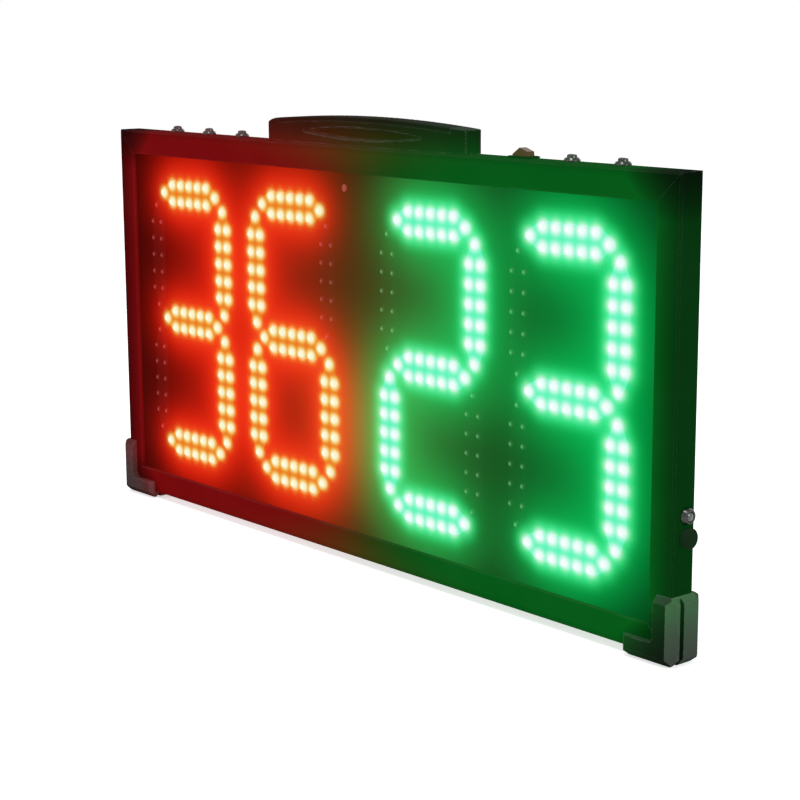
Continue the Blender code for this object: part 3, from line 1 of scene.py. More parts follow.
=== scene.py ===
# %% [markdown]
# # A substitution board: its looks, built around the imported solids
# The board is a flat black case with four big lamp digits. The solids, their bodies
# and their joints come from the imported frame, and every piece made here is fitted to
# them. Shapes are worked out in millimetres and go into Blender in metres.

import math

import bpy
import numpy as np
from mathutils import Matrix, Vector
from mathutils.geometry import delaunay_2d_cdt


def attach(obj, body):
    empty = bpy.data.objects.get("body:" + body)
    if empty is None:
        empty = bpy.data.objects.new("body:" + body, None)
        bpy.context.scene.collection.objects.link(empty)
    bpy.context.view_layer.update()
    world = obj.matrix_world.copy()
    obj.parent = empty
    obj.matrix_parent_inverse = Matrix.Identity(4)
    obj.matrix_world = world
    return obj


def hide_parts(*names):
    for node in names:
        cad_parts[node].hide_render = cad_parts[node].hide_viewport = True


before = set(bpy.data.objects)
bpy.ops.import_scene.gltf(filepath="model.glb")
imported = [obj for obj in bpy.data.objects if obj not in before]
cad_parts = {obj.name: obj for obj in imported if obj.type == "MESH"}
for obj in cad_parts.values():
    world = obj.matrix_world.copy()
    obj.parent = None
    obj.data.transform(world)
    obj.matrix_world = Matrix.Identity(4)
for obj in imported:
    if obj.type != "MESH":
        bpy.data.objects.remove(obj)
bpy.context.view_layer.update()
MM = 0.001

# %% [markdown]
# ## The camera
# The board was photographed from its right and a little above, close enough for the
# left side to look clearly smaller. A place, three turns and a long lens repeat that
# view. The lit lamps, which stand on a known grid, gave these numbers.

# %% Camera
scene = bpy.context.scene
scene.view_settings.view_transform = "Standard"
BOARD_CENTRE = (0, 0, 0.17)
CAMERA_PLACE = (1.14723, -0.94893, 0.43181)
CAMERA_TURNS = (78.6465, 0.2422, 49.3440)
CAMERA_LENS, CAMERA_SENSOR, CAMERA_NEAR = 86.297, 36.0, 0.01

camera = bpy.data.objects.new("camera", bpy.data.cameras.new("camera"))
camera.location = CAMERA_PLACE
camera.rotation_euler = [math.radians(turn) for turn in CAMERA_TURNS]
camera.data.lens = CAMERA_LENS
camera.data.sensor_width = CAMERA_SENSOR
camera.data.clip_start = CAMERA_NEAR
scene.collection.objects.link(camera)
scene.camera = camera
print("camera stands", round(math.dist(CAMERA_PLACE, BOARD_CENTRE), 3), "m from the board")

# %% [markdown]
# ## Shader sums written as Python
# A finish needs sums such as "one less the mask, times the grain". One small class
# wraps a shader socket and gives it Python's operators, so each sum is written as it
# is said. A second class holds a node tree and adds any node through one method, which
# sets the node's settings first and then its sockets. A third one is a material.


# %% Sockets with operators
class Wire:
    """A shader socket that takes part in Python sums. Each operator adds a Math node."""

    def __init__(self, nodes, socket):
        self.nodes = nodes
        self.socket = socket

    def math(self, operation, *values):
        return self.nodes.node("ShaderNodeMath", {"operation": operation}, *values)

    def __add__(self, other):
        return self.math("ADD", self, other)

    def __sub__(self, other):
        return self.math("SUBTRACT", self, other)

    def __rsub__(self, other):
        return self.math("SUBTRACT", other, self)

    def __mul__(self, other):
        return self.math("MULTIPLY", self, other)

    def __truediv__(self, other):
        return self.math("DIVIDE", self, other)

    __radd__ = __add__
    __rmul__ = __mul__

    def size(self):
        """The value without its sign."""
        return self.math("ABSOLUTE", self)

    def above(self, floor):
        """The greater of the value and the floor."""
        return self.math("MAXIMUM", self, floor)

    def below(self, ceiling):
        """The lesser of the value and the ceiling."""
        return self.math("MINIMUM", self, ceiling)

    def exp(self):
        """The number e raised to the value."""
        return self.math("EXPONENT", self)

    def ramp(self, start, end):
        """Nought at start and one at end, straight between and level outside."""
        return ((self - start) / (end - start)).above(0).below(1)


# %% Node trees and materials
class Nodes:
    """A node tree, to which every node is added by one method."""

    def __init__(self, tree):
        self.tree = tree

    def node(self, kind, settings, *values, out=0, **named):
        """Adds a node: its settings first, then its sockets by order or by name."""
        made = self.tree.nodes.new(kind)
        for key, value in settings.items():
            setattr(made, key, value)
        for socket, value in zip(made.inputs, values):
            self.put(socket, value)
        for key, value in named.items():
            names = (key, key.replace("_", " "))
            found = [s for s in made.inputs if s.identifier == key or s.name in names]
            self.put(found[0], value)
        return Wire(self, made.outputs[out])

    def put(self, socket, value):
        """Links a wire to a socket, or sets the socket's own value."""
        if isinstance(value, Wire):
            self.tree.links.new(value.socket, socket)
        else:
            socket.default_value = value


FINISHES = {}


class Finish(Nodes):
    """A procedural material: one Principled shader and the nodes that feed it. Each is
    kept by its name, which is the name of the slot that it fills."""

    def __init__(self, name, **uniform):
        self.material = bpy.data.materials.new(name)
        self.material.use_nodes = True
        super().__init__(self.material.node_tree)
        self.shader = self.tree.nodes["Principled BSDF"]
        self.feed(**uniform)
        self.place = self.node("ShaderNodeTexCoord", {}, out="Object")
        self.facing = self.node("ShaderNodeNewGeometry", {}, out="Normal")
        FINISHES[name] = self

    def feed(self, **named):
        """Links wires to the Principled shader's sockets, or sets their values."""
        for key, value in named.items():
            self.put(self.shader.inputs[key.replace("_", " ")], value)

    def axes(self, vector):
        """The three parts of a vector."""
        split = self.node("ShaderNodeSeparateXYZ", {}, vector)
        return [Wire(self, socket) for socket in split.socket.node.outputs]

    def noise(self, scale, detail=3.0, rough=0.5, stretch=(1, 1, 1)):
        """Noise with about `scale` lumps to the metre, stretched along the axes."""
        vector = self.place
        if stretch != (1, 1, 1):
            vector = self.node("ShaderNodeMapping", {}, vector, Scale=stretch)
        return self.node(
            "ShaderNodeTexNoise", {}, Vector=vector, Scale=scale, Detail=detail, Roughness=rough
        )

    def mix(self, share, first, second):
        """A colour between two colours, each a wire or (red, green, blue)."""
        first, second = (c if isinstance(c, Wire) else (*c, 1) for c in (first, second))
        sockets = {"Factor_Float": share, "A_Color": first, "B_Color": second}
        return self.node("ShaderNodeMix", {"data_type": "RGBA"}, out=2, **sockets)

    def vector(self, operation, *values, **named):
        """One Vector Math node."""
        return self.node("ShaderNodeVectorMath", {"operation": operation}, *values, **named)

    def scaled(self, colour, amount):
        """A colour or vector times a number."""
        return self.vector("SCALE", colour, Scale=amount)

    def bump(self, height, strength, distance, normal=None):
        """A normal tilted by a height pattern."""
        sockets = {"Strength": strength, "Distance": distance, "Height": height}
        if normal:
            sockets["Normal"] = normal
        return self.node("ShaderNodeBump", {}, **sockets)

    def rounded(self, radius):
        """A normal that softens sharp edges, as if they had this radius."""
        return self.node("ShaderNodeBevel", {"samples": 4}, Radius=radius)


# %% [markdown]
# ## Studio
# A pale floor, wide soft lamps and an even sky light the board so that a colour
# renders about as it is written. The camera, and what mirrors or clear pieces show,
# see a pure white sky, which the photo has behind the board. The floor is pale too,
# and the board's shadow stays on it.

# %% Sky
SKY_LIGHT = 0.50
WHITE = (1.0, 1.0, 1.0, 1.0)

world = bpy.data.worlds.new("sky")
scene.world = world
world.use_nodes = True


def seen_directly(nodes):
    """One for camera, mirror and see-through rays, nought for the rays that light things."""
    rays = ("Is Camera Ray", "Is Glossy Ray", "Is Transmission Ray")
    seen, mirrored, through = (nodes.node("ShaderNodeLightPath", {}, out=ray) for ray in rays)
    return seen.above(mirrored).above(through)


sky = Nodes(world.node_tree)
background = sky.tree.nodes["Background"]
sky.put(background.inputs["Color"], WHITE)
sky.put(background.inputs["Strength"], SKY_LIGHT + (1 - SKY_LIGHT) * seen_directly(sky))
print("sky gives", SKY_LIGHT, "of full light")


# %% Lamps of the studio
def soft_lamp(name, place, width, power):
    """A square lamp at a place, turned so that it faces the board."""
    data = bpy.data.lights.new(name, "AREA")
    data.size = width
    data.energy = power
    lamp = bpy.data.objects.new(name, data)
    lamp.location = place
    turn = Vector(BOARD_CENTRE) - Vector(place)
    lamp.rotation_euler = turn.to_track_quat("-Z", "Y").to_euler()
    scene.collection.objects.link(lamp)


soft_lamp("side_lamp", (2.4, 0.1, 1.0), width=1.0, power=26.0)
soft_lamp("top_lamp", (0.5, -0.9, 2.6), width=0.6, power=22.0)
soft_lamp("front_lamp", (-0.8, -2.4, 1.1), width=1.6, power=14.0)
soft_lamp("rear_lamp", (-1.2, 2.4, 1.6), width=1.6, power=14.0)

# %% Floor
FLOOR_HALF = 4.0
FLOOR_DROP = 0.0004
FLOOR_PALE = (0.86, 0.86, 0.86, 1.0)
FLOOR_LIFT = 0.60

signs = ((-1, -1), (1, -1), (1, 1), (-1, 1))
floor_mesh = bpy.data.meshes.new("floor")
floor_mesh.from_pydata([(x * FLOOR_HALF, y * FLOOR_HALF, -FLOOR_DROP) for x, y in signs], [], [range(4)])
floor = bpy.data.objects.new("floor", floor_mesh)
scene.collection.objects.link(floor)

pale = Finish(
    "pale_floor", Base_Color=FLOOR_PALE, Roughness=0.9, Specular_IOR_Level=0.0, Emission_Color=WHITE
)
pale.feed(Emission_Strength=FLOOR_LIFT * seen_directly(pale))
floor_mesh.materials.append(pale.material)
print("floor is", 2 * FLOOR_HALF, "m wide")

# %% [markdown]
# ## Surfaces from numpy
# Every new shape is a grid of points: a function of two parameters, or a profile
# carried along a path. The helpers join a grid's neighbours into faces, close its ends
# so that every face looks outward, and put points, faces and an optional light colour
# into a mesh.


# %% Faces
def grid_faces(rows, columns, around=False):
    """Quads between neighbours of a grid, whose columns may close on themselves."""
    r = np.arange(rows - 1)[:, None] * columns
    c = np.arange(columns if around else columns - 1)[None, :]
    after = (c + 1) % columns
    quads = [r + c, r + after, r + columns + after, r + columns + c]
    return np.stack(quads, -1).reshape(-1, 4)


def fan(ring, tip):
    """Triangles between the sides of a ring of points and a tip."""
    return list(np.stack([ring, np.roll(ring, -1), np.full(len(ring), tip)], 1))


def capped_tube(rings):
    """Points and faces of closed rings in a row, with a flat face over both ends. Seen
    from the first ring towards the last, the rings turn anticlockwise."""
    count, around = rings.shape[:2]
    ring = np.arange(around)
    faces = list(grid_faces(count, around, around=True)[:, ::-1])
    return rings.reshape(-1, 3), faces + [ring, ring[::-1] + (count - 1) * around]


def joined(parts):
    """Several (points, faces) as one."""
    points, faces, start = [], [], 0
    for more, its_faces in parts:
        points.append(more)
        faces += [face + start for face in its_faces]
        start += len(more)
    return np.concatenate(points), faces


# %% Pieces
TURNED_SIDES = 48
TURNED_SHARP = 30


def made_piece(name, points, faces, finish, body="board", sharp=40.0, glow=None):
    """A mesh object at the origin from millimetre points, riding on a body."""
    mesh = bpy.data.meshes.new(name)
    sizes = np.array([len(face) for face in faces])
    corners = np.concatenate(faces)
    mesh.vertices.add(len(points))
    mesh.vertices.foreach_set("co", (points * MM).astype(np.float32).ravel())
    mesh.loops.add(len(corners))
    mesh.loops.foreach_set("vertex_index", corners.astype(np.int32))
    mesh.polygons.add(len(sizes))
    mesh.polygons.foreach_set("loop_start", (np.cumsum(sizes) - sizes).astype(np.int32))
    mesh.update(calc_edges=True)
    mesh.validate()
    mesh.shade_smooth()
    mesh.set_sharp_from_angle(angle=math.radians(sharp))
    if glow is not None:
        layer = mesh.attributes.new("glow", "FLOAT_COLOR", "POINT")
        rgba = np.concatenate([glow, np.ones((len(glow), 1))], 1).astype(np.float32)
        layer.data.foreach_set("color", rgba.ravel())
    obj = bpy.data.objects.new(name, mesh)
    scene.collection.objects.link(obj)
    mesh.materials.append(finish.material)
    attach(obj, body)
    return obj


def turned_piece(name, profile, place, finish, body="board", along="Z"):
    """A profile of (radius, height) points carried round an axis. It starts in the middle
    of the underside, runs out and up, and ends on the axis again."""
    turn = np.linspace(0, 2 * np.pi, TURNED_SIDES, endpoint=False)
    radius, height = np.array(profile, float).T
    r, h = radius[1:-1, None], height[1:-1, None]
    rings = np.stack([r * np.cos(turn), r * np.sin(turn), h + 0 * turn], -1)
    local = np.concatenate([rings.reshape(-1, 3), [[0, 0, height[0]], [0, 0, height[-1]]]])
    ring, count = np.arange(TURNED_SIDES), len(local) - 2
    faces = list(grid_faces(len(rings), TURNED_SIDES, around=True))
    faces += fan(ring[::-1], count) + fan(ring + count - TURNED_SIDES, count + 1)
    if along == "X":
        local = local[:, [2, 0, 1]]
    return made_piece(name, local + np.array(place), faces, finish, body, sharp=TURNED_SHARP)


def rounded_corner(centre, radius, start, end, steps=5):
    """Points on an arc in a profile, from one angle to another, in degrees."""
    angle = np.radians(np.linspace(start, end, steps))
    return [(centre[0] + radius * math.cos(a), centre[1] + radius * math.sin(a)) for a in angle]


# %% [markdown]
# ## The board's sizes
# The case is 662 mm wide. Depths are counted from the front lip, whose face lies
# 11 mm before the middle, and heights from the underside of the corner guards.

# %% Sizes shared by the pieces
FRONT = -11.0
MIDDLE_Z = 168.99
HALF_WIDTH = 330.99
TOP_Z = 332.49
DIGIT_X = (-228.4, -85.4, 85.4, 228.4)
SEGMENT_X = 48.10
SEGMENT_Z = 55.55
LAMP_RADIUS = 2.5
BAR_FRONT = FRONT + 2.5
BAR_BACK = FRONT + 9.0
MASK_FRONT = FRONT + 3.1
MASK_THICK = 2.0
print("lip face at y", FRONT, "mm, bars at", BAR_FRONT, "mm, mask at", MASK_FRONT, "mm")

# %% [markdown]
# ## Lamp layout
# Each digit has seven bars. A bar holds two rows of five lamps and one lamp in each
# pointed end. Three bars lie across and four stand upright. The left two digits are
# lit red and show 36, the right two are lit green and show 23, as on the photo.

# %% Lamps of one bar and of one digit
ACROSS = {"pitch": 12.6, "half_gap": 7.35}
UPRIGHT = {"pitch": 14.7, "half_gap": 6.2}
END_STEP = 3.01
SEGMENTS = {
    "A": (0, 2 * SEGMENT_Z, ACROSS),
    "B": (SEGMENT_X, SEGMENT_Z, UPRIGHT),
    "C": (SEGMENT_X, -SEGMENT_Z, UPRIGHT),
    "D": (0, -2 * SEGMENT_Z, ACROSS),
    "E": (-SEGMENT_X, -SEGMENT_Z, UPRIGHT),
    "F": (-SEGMENT_X, SEGMENT_Z, UPRIGHT),
    "G": (0, 0, ACROSS),
}
SHOWN = ("ABCDG", "ACDEFG", "ABDEG", "ABCDG")


def bar_lamps(segment):
    """The twelve lamp places of a bar, as (x, z) from the digit's centre."""
    x, z, layout = SEGMENTS[segment]
    steps = np.arange(-2, 3) * layout["pitch"]
    ends = np.array([-1, 1]) * END_STEP * layout["pitch"]
    along = np.concatenate([steps, steps, ends])
    offset = np.repeat([-layout["half_gap"], layout["half_gap"], 0], [5, 5, 2])
    pair = (offset, along) if layout is UPRIGHT else (along, offset)
    return np.stack(pair, 1) + (x, z)


def digit_lamps(number, lit):
    """All lamps of a digit that are lit, or all that are dark, in the board's frame."""
    chosen = [name for name in SEGMENTS if (name in SHOWN[number]) == lit]
    places = np.concatenate([bar_lamps(name) for name in chosen])
    return places + (DIGIT_X[number], MIDDLE_Z)


print(sum(len(digit_lamps(number, True)) for number in range(4)), "lamps are lit")

# %% [markdown]
# ## Light of the lamps
# The lamps light the panel round them, strongly close by and faintly far off. That
# light doesn't change while the board shows the same numbers, so it is worked out
# once for each point of the panel: a sum of bell curves over the lit lamps, from a
# few millimetres wide to the whole digit, and a pale bloom right round each lamp. It
# is kept as a colour on the points.

# %% The two lamp colours
BELLS = (6.0, 12.0, 25.0, 50.0, 120.0)
LAMP_WIDE = 1.15
BATCH = 4000

# For each colour: how much light each bell gives, its tint, the tint that the first bell
# adds close to a lamp, the bloom's soft discs as (radius, steepness, light), the light of
# a lit bar between its lamps, and the painted highlight on the tip of a lamp that is not lit.
RED = {
    "lamps": np.concatenate([digit_lamps(0, True), digit_lamps(1, True)]),
    "reach": (0.0, 0.42, 0.105, 0.003, 0.0011), "tint": (1.0, 0.013, 0.003),
    "close": (0.0, 0.05, 0.006),
    "bloom": ((5.3, 3.0, (0, 0.80, 0)), (4.0, 2.8, (0, 0, 0.78)), (5.0, 2.0, (0.16, 0, 0))),
    "bar": (0.84, 0.18, 0.018), "dark_tip_highlight": (0.30, 0.055, 0.060),
}
GREEN = {
    "lamps": np.concatenate([digit_lamps(2, True), digit_lamps(3, True)]),
    "reach": (1.8, 0.032, 0.050, 0.004, 0.0005), "tint": (0.0, 1.0, 0.145),
    "close": (0.07, 0.0, 0.15),
    "bloom": ((4.9, 2.6, (0.86, 0, 0)), (5.2, 3.0, (0, 0, 0.50)), (5.5, 2.0, (0, 0.08, 0))),
    "bar": (0.10, 0.92, 0.49), "dark_tip_highlight": (0.12, 0.34, 0.14),
}
DIGIT_COLOURS = (RED, RED, GREEN, GREEN)


def in_batches(work, points):
    """What a function gives for the points, worked out a few thousand at a time."""
    starts = range(0, len(points), BATCH)
    return np.concatenate([work(points[start : start + BATCH]) for start in starts])


def bell_sums(points, lamps):
    """For each point and bell width s, the sum over the lamps of e to -(d/s)^2 / 2."""

    def sums(some):
        squared = ((some[:, None] - lamps) ** 2).sum(-1)
        return np.stack([np.exp(-squared / (2 * width**2)).sum(1) for width in BELLS], 1)

    return in_batches(sums, points)


def nearest(points, lamps):
    """Distance from each point to its nearest lamp, in rings a little wider than high."""

    def least(some):
        apart = (some[:, None] - lamps) / (LAMP_WIDE, 1)
        return np.sqrt((apart**2).sum(-1).min(1))

    return in_batches(least, points)


def panel_light(points):
    """Light given off by the panel at (x, z) points. Each lamp colour reaches out in a
    sum of bells, with a paler tint close to the lamps, and levels off at full light."""
    light = np.zeros((len(points), 3))
    for colour in (RED, GREEN):
        bells = bell_sums(points, colour["lamps"])
        light += np.outer(bells @ colour["reach"], colour["tint"])
        light += np.outer(bells[:, 0], colour["close"])
    return 1 - np.exp(-light)


def bloom(distance, colour):
    """The pale light right round a lamp, by the distance d from the lamp's middle: the sum
    over its discs of e to -(d/radius)^steepness, times the disc's light."""
    return sum(
        np.exp(-((distance / radius) ** power))[..., None] * light
        for radius, power, light in colour["bloom"]
    )


def lit_bar_light(distance, colour):
    """Light of a lit bar: nearly white at its lamps and the lamps' own colour between."""
    return colour["bar"] + bloom(distance, colour)


sample = panel_light(np.array([[-303.0, MIDDLE_Z], [0.0, MIDDLE_Z], [303.0, MIDDLE_Z]]))
print("panel light left, middle and right:", sample.round(3).tolist())

# %% [markdown]
# ## Finish of the glowing display
# Mask, bars and lamps read the light colour kept on their points and give it off.
# Under it the mask is satin black sheet with fine grain and a few dull smears, the
# bars are smoked lens plastic, and the lamps are clear resin.


# %% Display finishes
def stored_light(finish, strength):
    """The colour kept on the points of a display piece, times a strength."""
    kept = finish.node("ShaderNodeAttribute", {"attribute_name": "glow"}, out="Color")
    return finish.scaled(kept, strength)


def mottled(name, lumps, dark, pale, rough, bump=None, **uniform):
    """A finish whose colour, roughness and height follow one noise. `lumps` holds what the
    noise takes, `rough` the least roughness and what the noise adds to it."""
    made = Finish(name, **uniform)
    pattern = made.noise(*lumps)
    made.feed(Base_Color=made.mix(pattern, dark, pale), Roughness=rough[0] + rough[1] * pattern)
    if bump:
        made.feed(Normal=made.bump(pattern, *bump))
    return made, pattern


mask_black = Finish("mask_black", Specular_IOR_Level=0.0, Emission_Strength=1.0)
smears = mask_black.noise(9.0, 5.0, 0.62)
grain = mask_black.noise(2600.0, 2.0)
mask_black.feed(
    Emission_Color=stored_light(mask_black, 0.94 + 0.10 * smears + 0.03 * (grain - 0.5)),
    Base_Color=mask_black.mix(
        smears.ramp(0.45, 0.75), (0.0012, 0.0012, 0.0012), (0.0026, 0.0025, 0.0024)
    ),
    Roughness=0.42 + 0.25 * smears,
    Normal=mask_black.bump(grain, 0.25, 0.00006),
)

lens_smoke, ripple = mottled(
    "segment_lens", (240.0, 2.0), (0.0014, 0.0013, 0.0013), (0.0030, 0.0028, 0.0028),
    rough=(0.30, 0.15), bump=(0.2, 0.0001), Specular_IOR_Level=0.002, Emission_Strength=1.0,
)
lens_smoke.feed(Emission_Color=stored_light(lens_smoke, 0.95 + 0.08 * ripple))

lamp_resin, haze = mottled(
    "lamp_resin", (900.0, 2.0), (0.006, 0.005, 0.005), (0.012, 0.010, 0.010),
    rough=(0.12, 0.15), Specular_IOR_Level=0.03, Emission_Strength=1.0,
)
lamp_resin.feed(Emission_Color=stored_light(lamp_resin, 0.97 + 0.06 * haze))
print("display finishes:", mask_black.material.name, lens_smoke.material.name)

# %% [markdown]
# ## Bars
# A bar is a raised lens: straight sides, a point at each end and a rounded rim. It is
# one surface of two parameters, u along the bar and v across it. The half width is
# level up to the shoulder and then falls to the blunt point, the height drops along a
# quarter circle near the rim, and a last ring of points goes down to the board.

# %% Bar outline and surface
BAR_BORDER = 3.5
BAR_SHOULDER = 3.3
BAR_POINT = 5.0
BAR_POINT_HALF = 1.9
BAR_RIM = 0.9
BAR_RIM_STEPS = np.array([0.0, 0.12, 0.4, 1.0])
BAR_STEP = 1.1


def bar_sizes(layout):
    """Shoulder, point and half width of a bar, from its lamps."""
    shoulder = 2 * layout["pitch"] + BAR_SHOULDER
    point = END_STEP * layout["pitch"] + BAR_POINT
    return shoulder, point, layout["half_gap"] + BAR_BORDER


def half_width(along, layout, grow=0.0):
    """Half the bar's width at a distance along it, grown outwards by a margin."""
    shoulder, point, half = bar_sizes(layout)
    fall = np.clip((np.abs(along) - shoulder) / (point - shoulder), 0, 1)
    return half + (BAR_POINT_HALF - half) * fall + grow


def rim_steps(span):
    """Numbers from -1 to 1 that crowd together near both ends, for a rounded rim."""
    near = BAR_RIM * BAR_RIM_STEPS / span
    middle = np.linspace(-1 + near[-1], 1 - near[-1], int(2 * span / BAR_STEP) + 1)
    return np.concatenate([near[:-1] - 1, middle, 1 - near[:-1][::-1]])


def bar_surface(segment):
    """Points and faces of one bar, about the digit's centre, as (x, y, z)."""
    x, z, layout = SEGMENTS[segment]
    point, half = bar_sizes(layout)[1:]
    along, share = np.meshgrid(rim_steps(point) * point, rim_steps(half), indexing="ij")
    across = share * half_width(along, layout)
    inside = np.minimum(half_width(along, layout) - np.abs(across), point - np.abs(along))
    short = np.clip(BAR_RIM - inside, 0, BAR_RIM)
    rise = BAR_FRONT + BAR_RIM - np.sqrt(BAR_RIM**2 - short**2)
    top = np.stack([along, across, rise], -1)
    wall = np.pad(top, ((1, 1), (1, 1), (0, 0)), mode="edge")
    skirt = np.ones(wall.shape[:2], bool)
    skirt[1:-1, 1:-1] = False
    wall[skirt, 2] = BAR_BACK
    rows, columns = wall.shape[:2]
    index = np.arange(rows * columns).reshape(rows, columns)
    ring = np.concatenate([index[0, :], index[1:, -1], index[-1, -2::-1], index[-2:0:-1, 0]])
    faces = list(grid_faces(rows, columns)) + [ring[::-1]]
    if layout is UPRIGHT:
        return wall.reshape(-1, 3)[:, [1, 2, 0]] + (x, 0, z), faces
    return wall.reshape(-1, 3)[:, [0, 2, 1]] + (x, 0, z), [face[::-1] for face in faces]


# %% Bars of the four digits
for number, centre in enumerate(DIGIT_X):
    parts, lights = [], []
    for name in SEGMENTS:
        points, faces = bar_surface(name)
        points = points + (centre, 0, MIDDLE_Z)
        flat = points[:, [0, 2]]
        if name in SHOWN[number]:
            lamps = bar_lamps(name) + (centre, MIDDLE_Z)
            light = lit_bar_light(nearest(flat, lamps), DIGIT_COLOURS[number])
        else:
            light = panel_light(flat)
        parts.append((points, faces))
        lights.append(light)
    points, faces = joined(parts)
    bars = made_piece(
        f"digit_{number + 1}_bars", points, faces, lens_smoke, glow=np.concatenate(lights)
    )
    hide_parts(f"digit_{number + 1}")
print("bars of a digit:", len(points), "points,", len(faces), "faces")

# %% [markdown]
# ## Lamps
# A lamp is a five-millimetre resin bullet that stands out of its bar. One small dome
# of rings is worked out and copied to each place. There are 336 of them, so a dome
# has few faces. A lit lamp is brightest at its tip, and a lamp that is not lit gets a
# small painted highlight in its colour on its tip, the glow of the lit lamps mirrored there.

# %% Lamp domes
LAMP_RINGS = ((2.5, 2.7), (2.5, 1.5), (2.15, 0.85), (1.3, 0.42))
LAMP_TIP = 0.3
LAMP_SIDES = 10
LAMP_SHARP = 60
DARK_TIP_HIGHLIGHT_SPOT = 2


def lamp_domes(places):
    """Rings of points on a dome, copied to every place; each ring is (radius, depth)."""
    turn = np.linspace(0, 2 * np.pi, LAMP_SIDES, endpoint=False)
    rings = [
        np.stack([r * np.cos(turn), np.full(LAMP_SIDES, FRONT + d), r * np.sin(turn)], 1)
        for r, d in LAMP_RINGS
    ]
    dome = np.concatenate(rings + [np.array([[0, FRONT + LAMP_TIP, 0]])])
    ring, tip = np.arange(LAMP_SIDES), len(dome) - 1
    faces = list(grid_faces(len(rings), LAMP_SIDES, around=True))
    faces += fan(ring + tip - LAMP_SIDES, tip) + [ring[::-1]]
    return joined([(dome + (x, 0, z), faces) for x, z in places])


ring_radius = np.append(np.repeat([radius for radius, depth in LAMP_RINGS], LAMP_SIDES), 0.0)
tip_share = (1 - ring_radius / LAMP_RADIUS)[:, None]

for number, colour in enumerate(DIGIT_COLOURS):
    for state, lit in (("lit", True), ("dark", False)):
        places = digit_lamps(number, lit)
        points, faces = lamp_domes(places)
        if lit:
            light = np.tile(lit_bar_light(ring_radius, colour), (len(places), 1))
        else:
            # A lamp that is not lit gets a painted highlight on its tip: the glow of the lit lamps
            # mirrored there.
            tip_highlight = colour["dark_tip_highlight"] * tip_share**DARK_TIP_HIGHLIGHT_SPOT
            light = (panel_light(places)[:, None] + tip_highlight).reshape(-1, 3)
        lamps = made_piece(
            f"digit_{number + 1}_lamps_{state}", points, faces, lamp_resin, glow=light,
            sharp=LAMP_SHARP,
        )
        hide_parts(f"digit_{number + 1}")
print("faces of one lamp:", len(faces) // len(places))

# %% [markdown]
# ## Digit boards
# Behind the bars, each digit has a green circuit board with its driver chips. It is
# closed in and never seen, yet it carries the bars, so it is made as a plain rounded
# slab with three chips on the back.

# %% Board finish
circuit_green = Finish("circuit_green", Specular_IOR_Level=0.4)
lanes = circuit_green.node(
    "ShaderNodeTexWave", {"wave_type": "BANDS", "bands_direction": "DIAGONAL"},
    Vector=circuit_green.place, Scale=90.0, Distortion=3.0, Detail=1.0,
)
circuit_green.feed(
    Base_Color=circuit_green.mix(
        lanes.ramp(0.55, 0.7), (0.010, 0.075, 0.030), (0.022, 0.140, 0.055)
    ),
    Roughness=0.35 + 0.2 * circuit_green.noise(60.0),
    Normal=circuit_green.bump(lanes, 0.3, 0.00004),
)

# %% Slabs
BOARD_HALF, BOARD_DEPTHS, BOARD_CORNER = (61.3, 125.45), (9.01, 10.6), 2.0
CHIP_HALF, CHIP_DEPTHS, CHIP_CORNER = (9.0, 3.75), (10.61, 12.0), 0.4
CHIP_STEP = 62.0
CORNER_POINTS = 4


def slab(x, z, half, depths, corner):
    """A plate about (x, z) between two depths: a rectangle whose corners are arcs."""
    ring = []
    for quarter, signs in enumerate(((1, 1), (-1, 1), (-1, -1), (1, -1))):
        angle = np.radians(np.linspace(0, 90, CORNER_POINTS) + 90 * quarter)
        arc = corner * np.stack([np.cos(angle), np.sin(angle)], 1)
        ring.append(arc + (x, z) + (np.array(half) - corner) * signs)
    ring = np.concatenate(ring)
    return capped_tube(np.stack([np.insert(ring, 1, FRONT + depth, axis=1) for depth in depths]))


for number, centre in enumerate(DIGIT_X):
    parts = [slab(centre, MIDDLE_Z, BOARD_HALF, BOARD_DEPTHS, BOARD_CORNER)]
    for level in (-1, 0, 1):
        height = MIDDLE_Z + level * CHIP_STEP
        parts.append(slab(centre, height, CHIP_HALF, CHIP_DEPTHS, CHIP_CORNER))
    points, faces = joined(parts)
    board = made_piece(f"digit_{number + 1}_board", points, faces, circuit_green)
    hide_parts(f"digit_{number + 1}")
print("digit boards:", len(DIGIT_X))

# %% [markdown]
# ## Mask panel
# One black sheet lies behind the frame's lip, with a window for every bar. Its points
# are a grid, fine near the lit lamps and coarser elsewhere, plus the outlines of the
# windows. A constrained triangulation joins them and keeps each outline, and the
# triangles inside the windows are dropped. A Solidify modifier then gives the sheet
# its thickness.

# %% Mask outline, windows and points
MASK_HALF_X, MASK_HALF_Z = 328.0, 160.5
MASK_STEP, MASK_FINE_STEP, MASK_FINE_REACH = 3.4, 1.4, 8.0
WINDOW_GAP, WINDOW_SHOULDER_GAP, WINDOW_TIP_GAP = 0.3, 0.1, 0.2
WINDOW_CLEAR, RECEIVER_CLEAR = 0.6, 0.8
RECEIVER_PLACE, RECEIVER_HOLE, RECEIVER_SIDES = np.array([-16.0, 131.0]), 3.3, 24
MERGE_DISTANCE = 1e-6


def window_outline(segment):
    """Points round a window, a little wider than its bar, as (x, z)."""
    x, z, layout = SEGMENTS[segment]
    shoulder, point, half = bar_sizes(layout)
    shoulder, point, half = shoulder + WINDOW_SHOULDER_GAP, point + WINDOW_GAP, half + WINDOW_GAP
    tip = BAR_POINT_HALF + WINDOW_TIP_GAP
    right = np.array([(shoulder, -half), (point, -tip), (point, tip), (shoulder, half)])
    corners = np.concatenate([[(-shoulder, -half)], right, -right[:3]])
    ahead = np.roll(corners, -1, axis=0)
    counts = np.maximum(1, np.round(np.linalg.norm(ahead - corners, axis=1) / MASK_FINE_STEP))
    ring = np.concatenate(
        [a + (b - a) * np.arange(n)[:, None] / n for a, b, n in zip(corners, ahead, counts)]
    )
    return (ring[:, ::-1] if layout is UPRIGHT else ring) + (x, z)


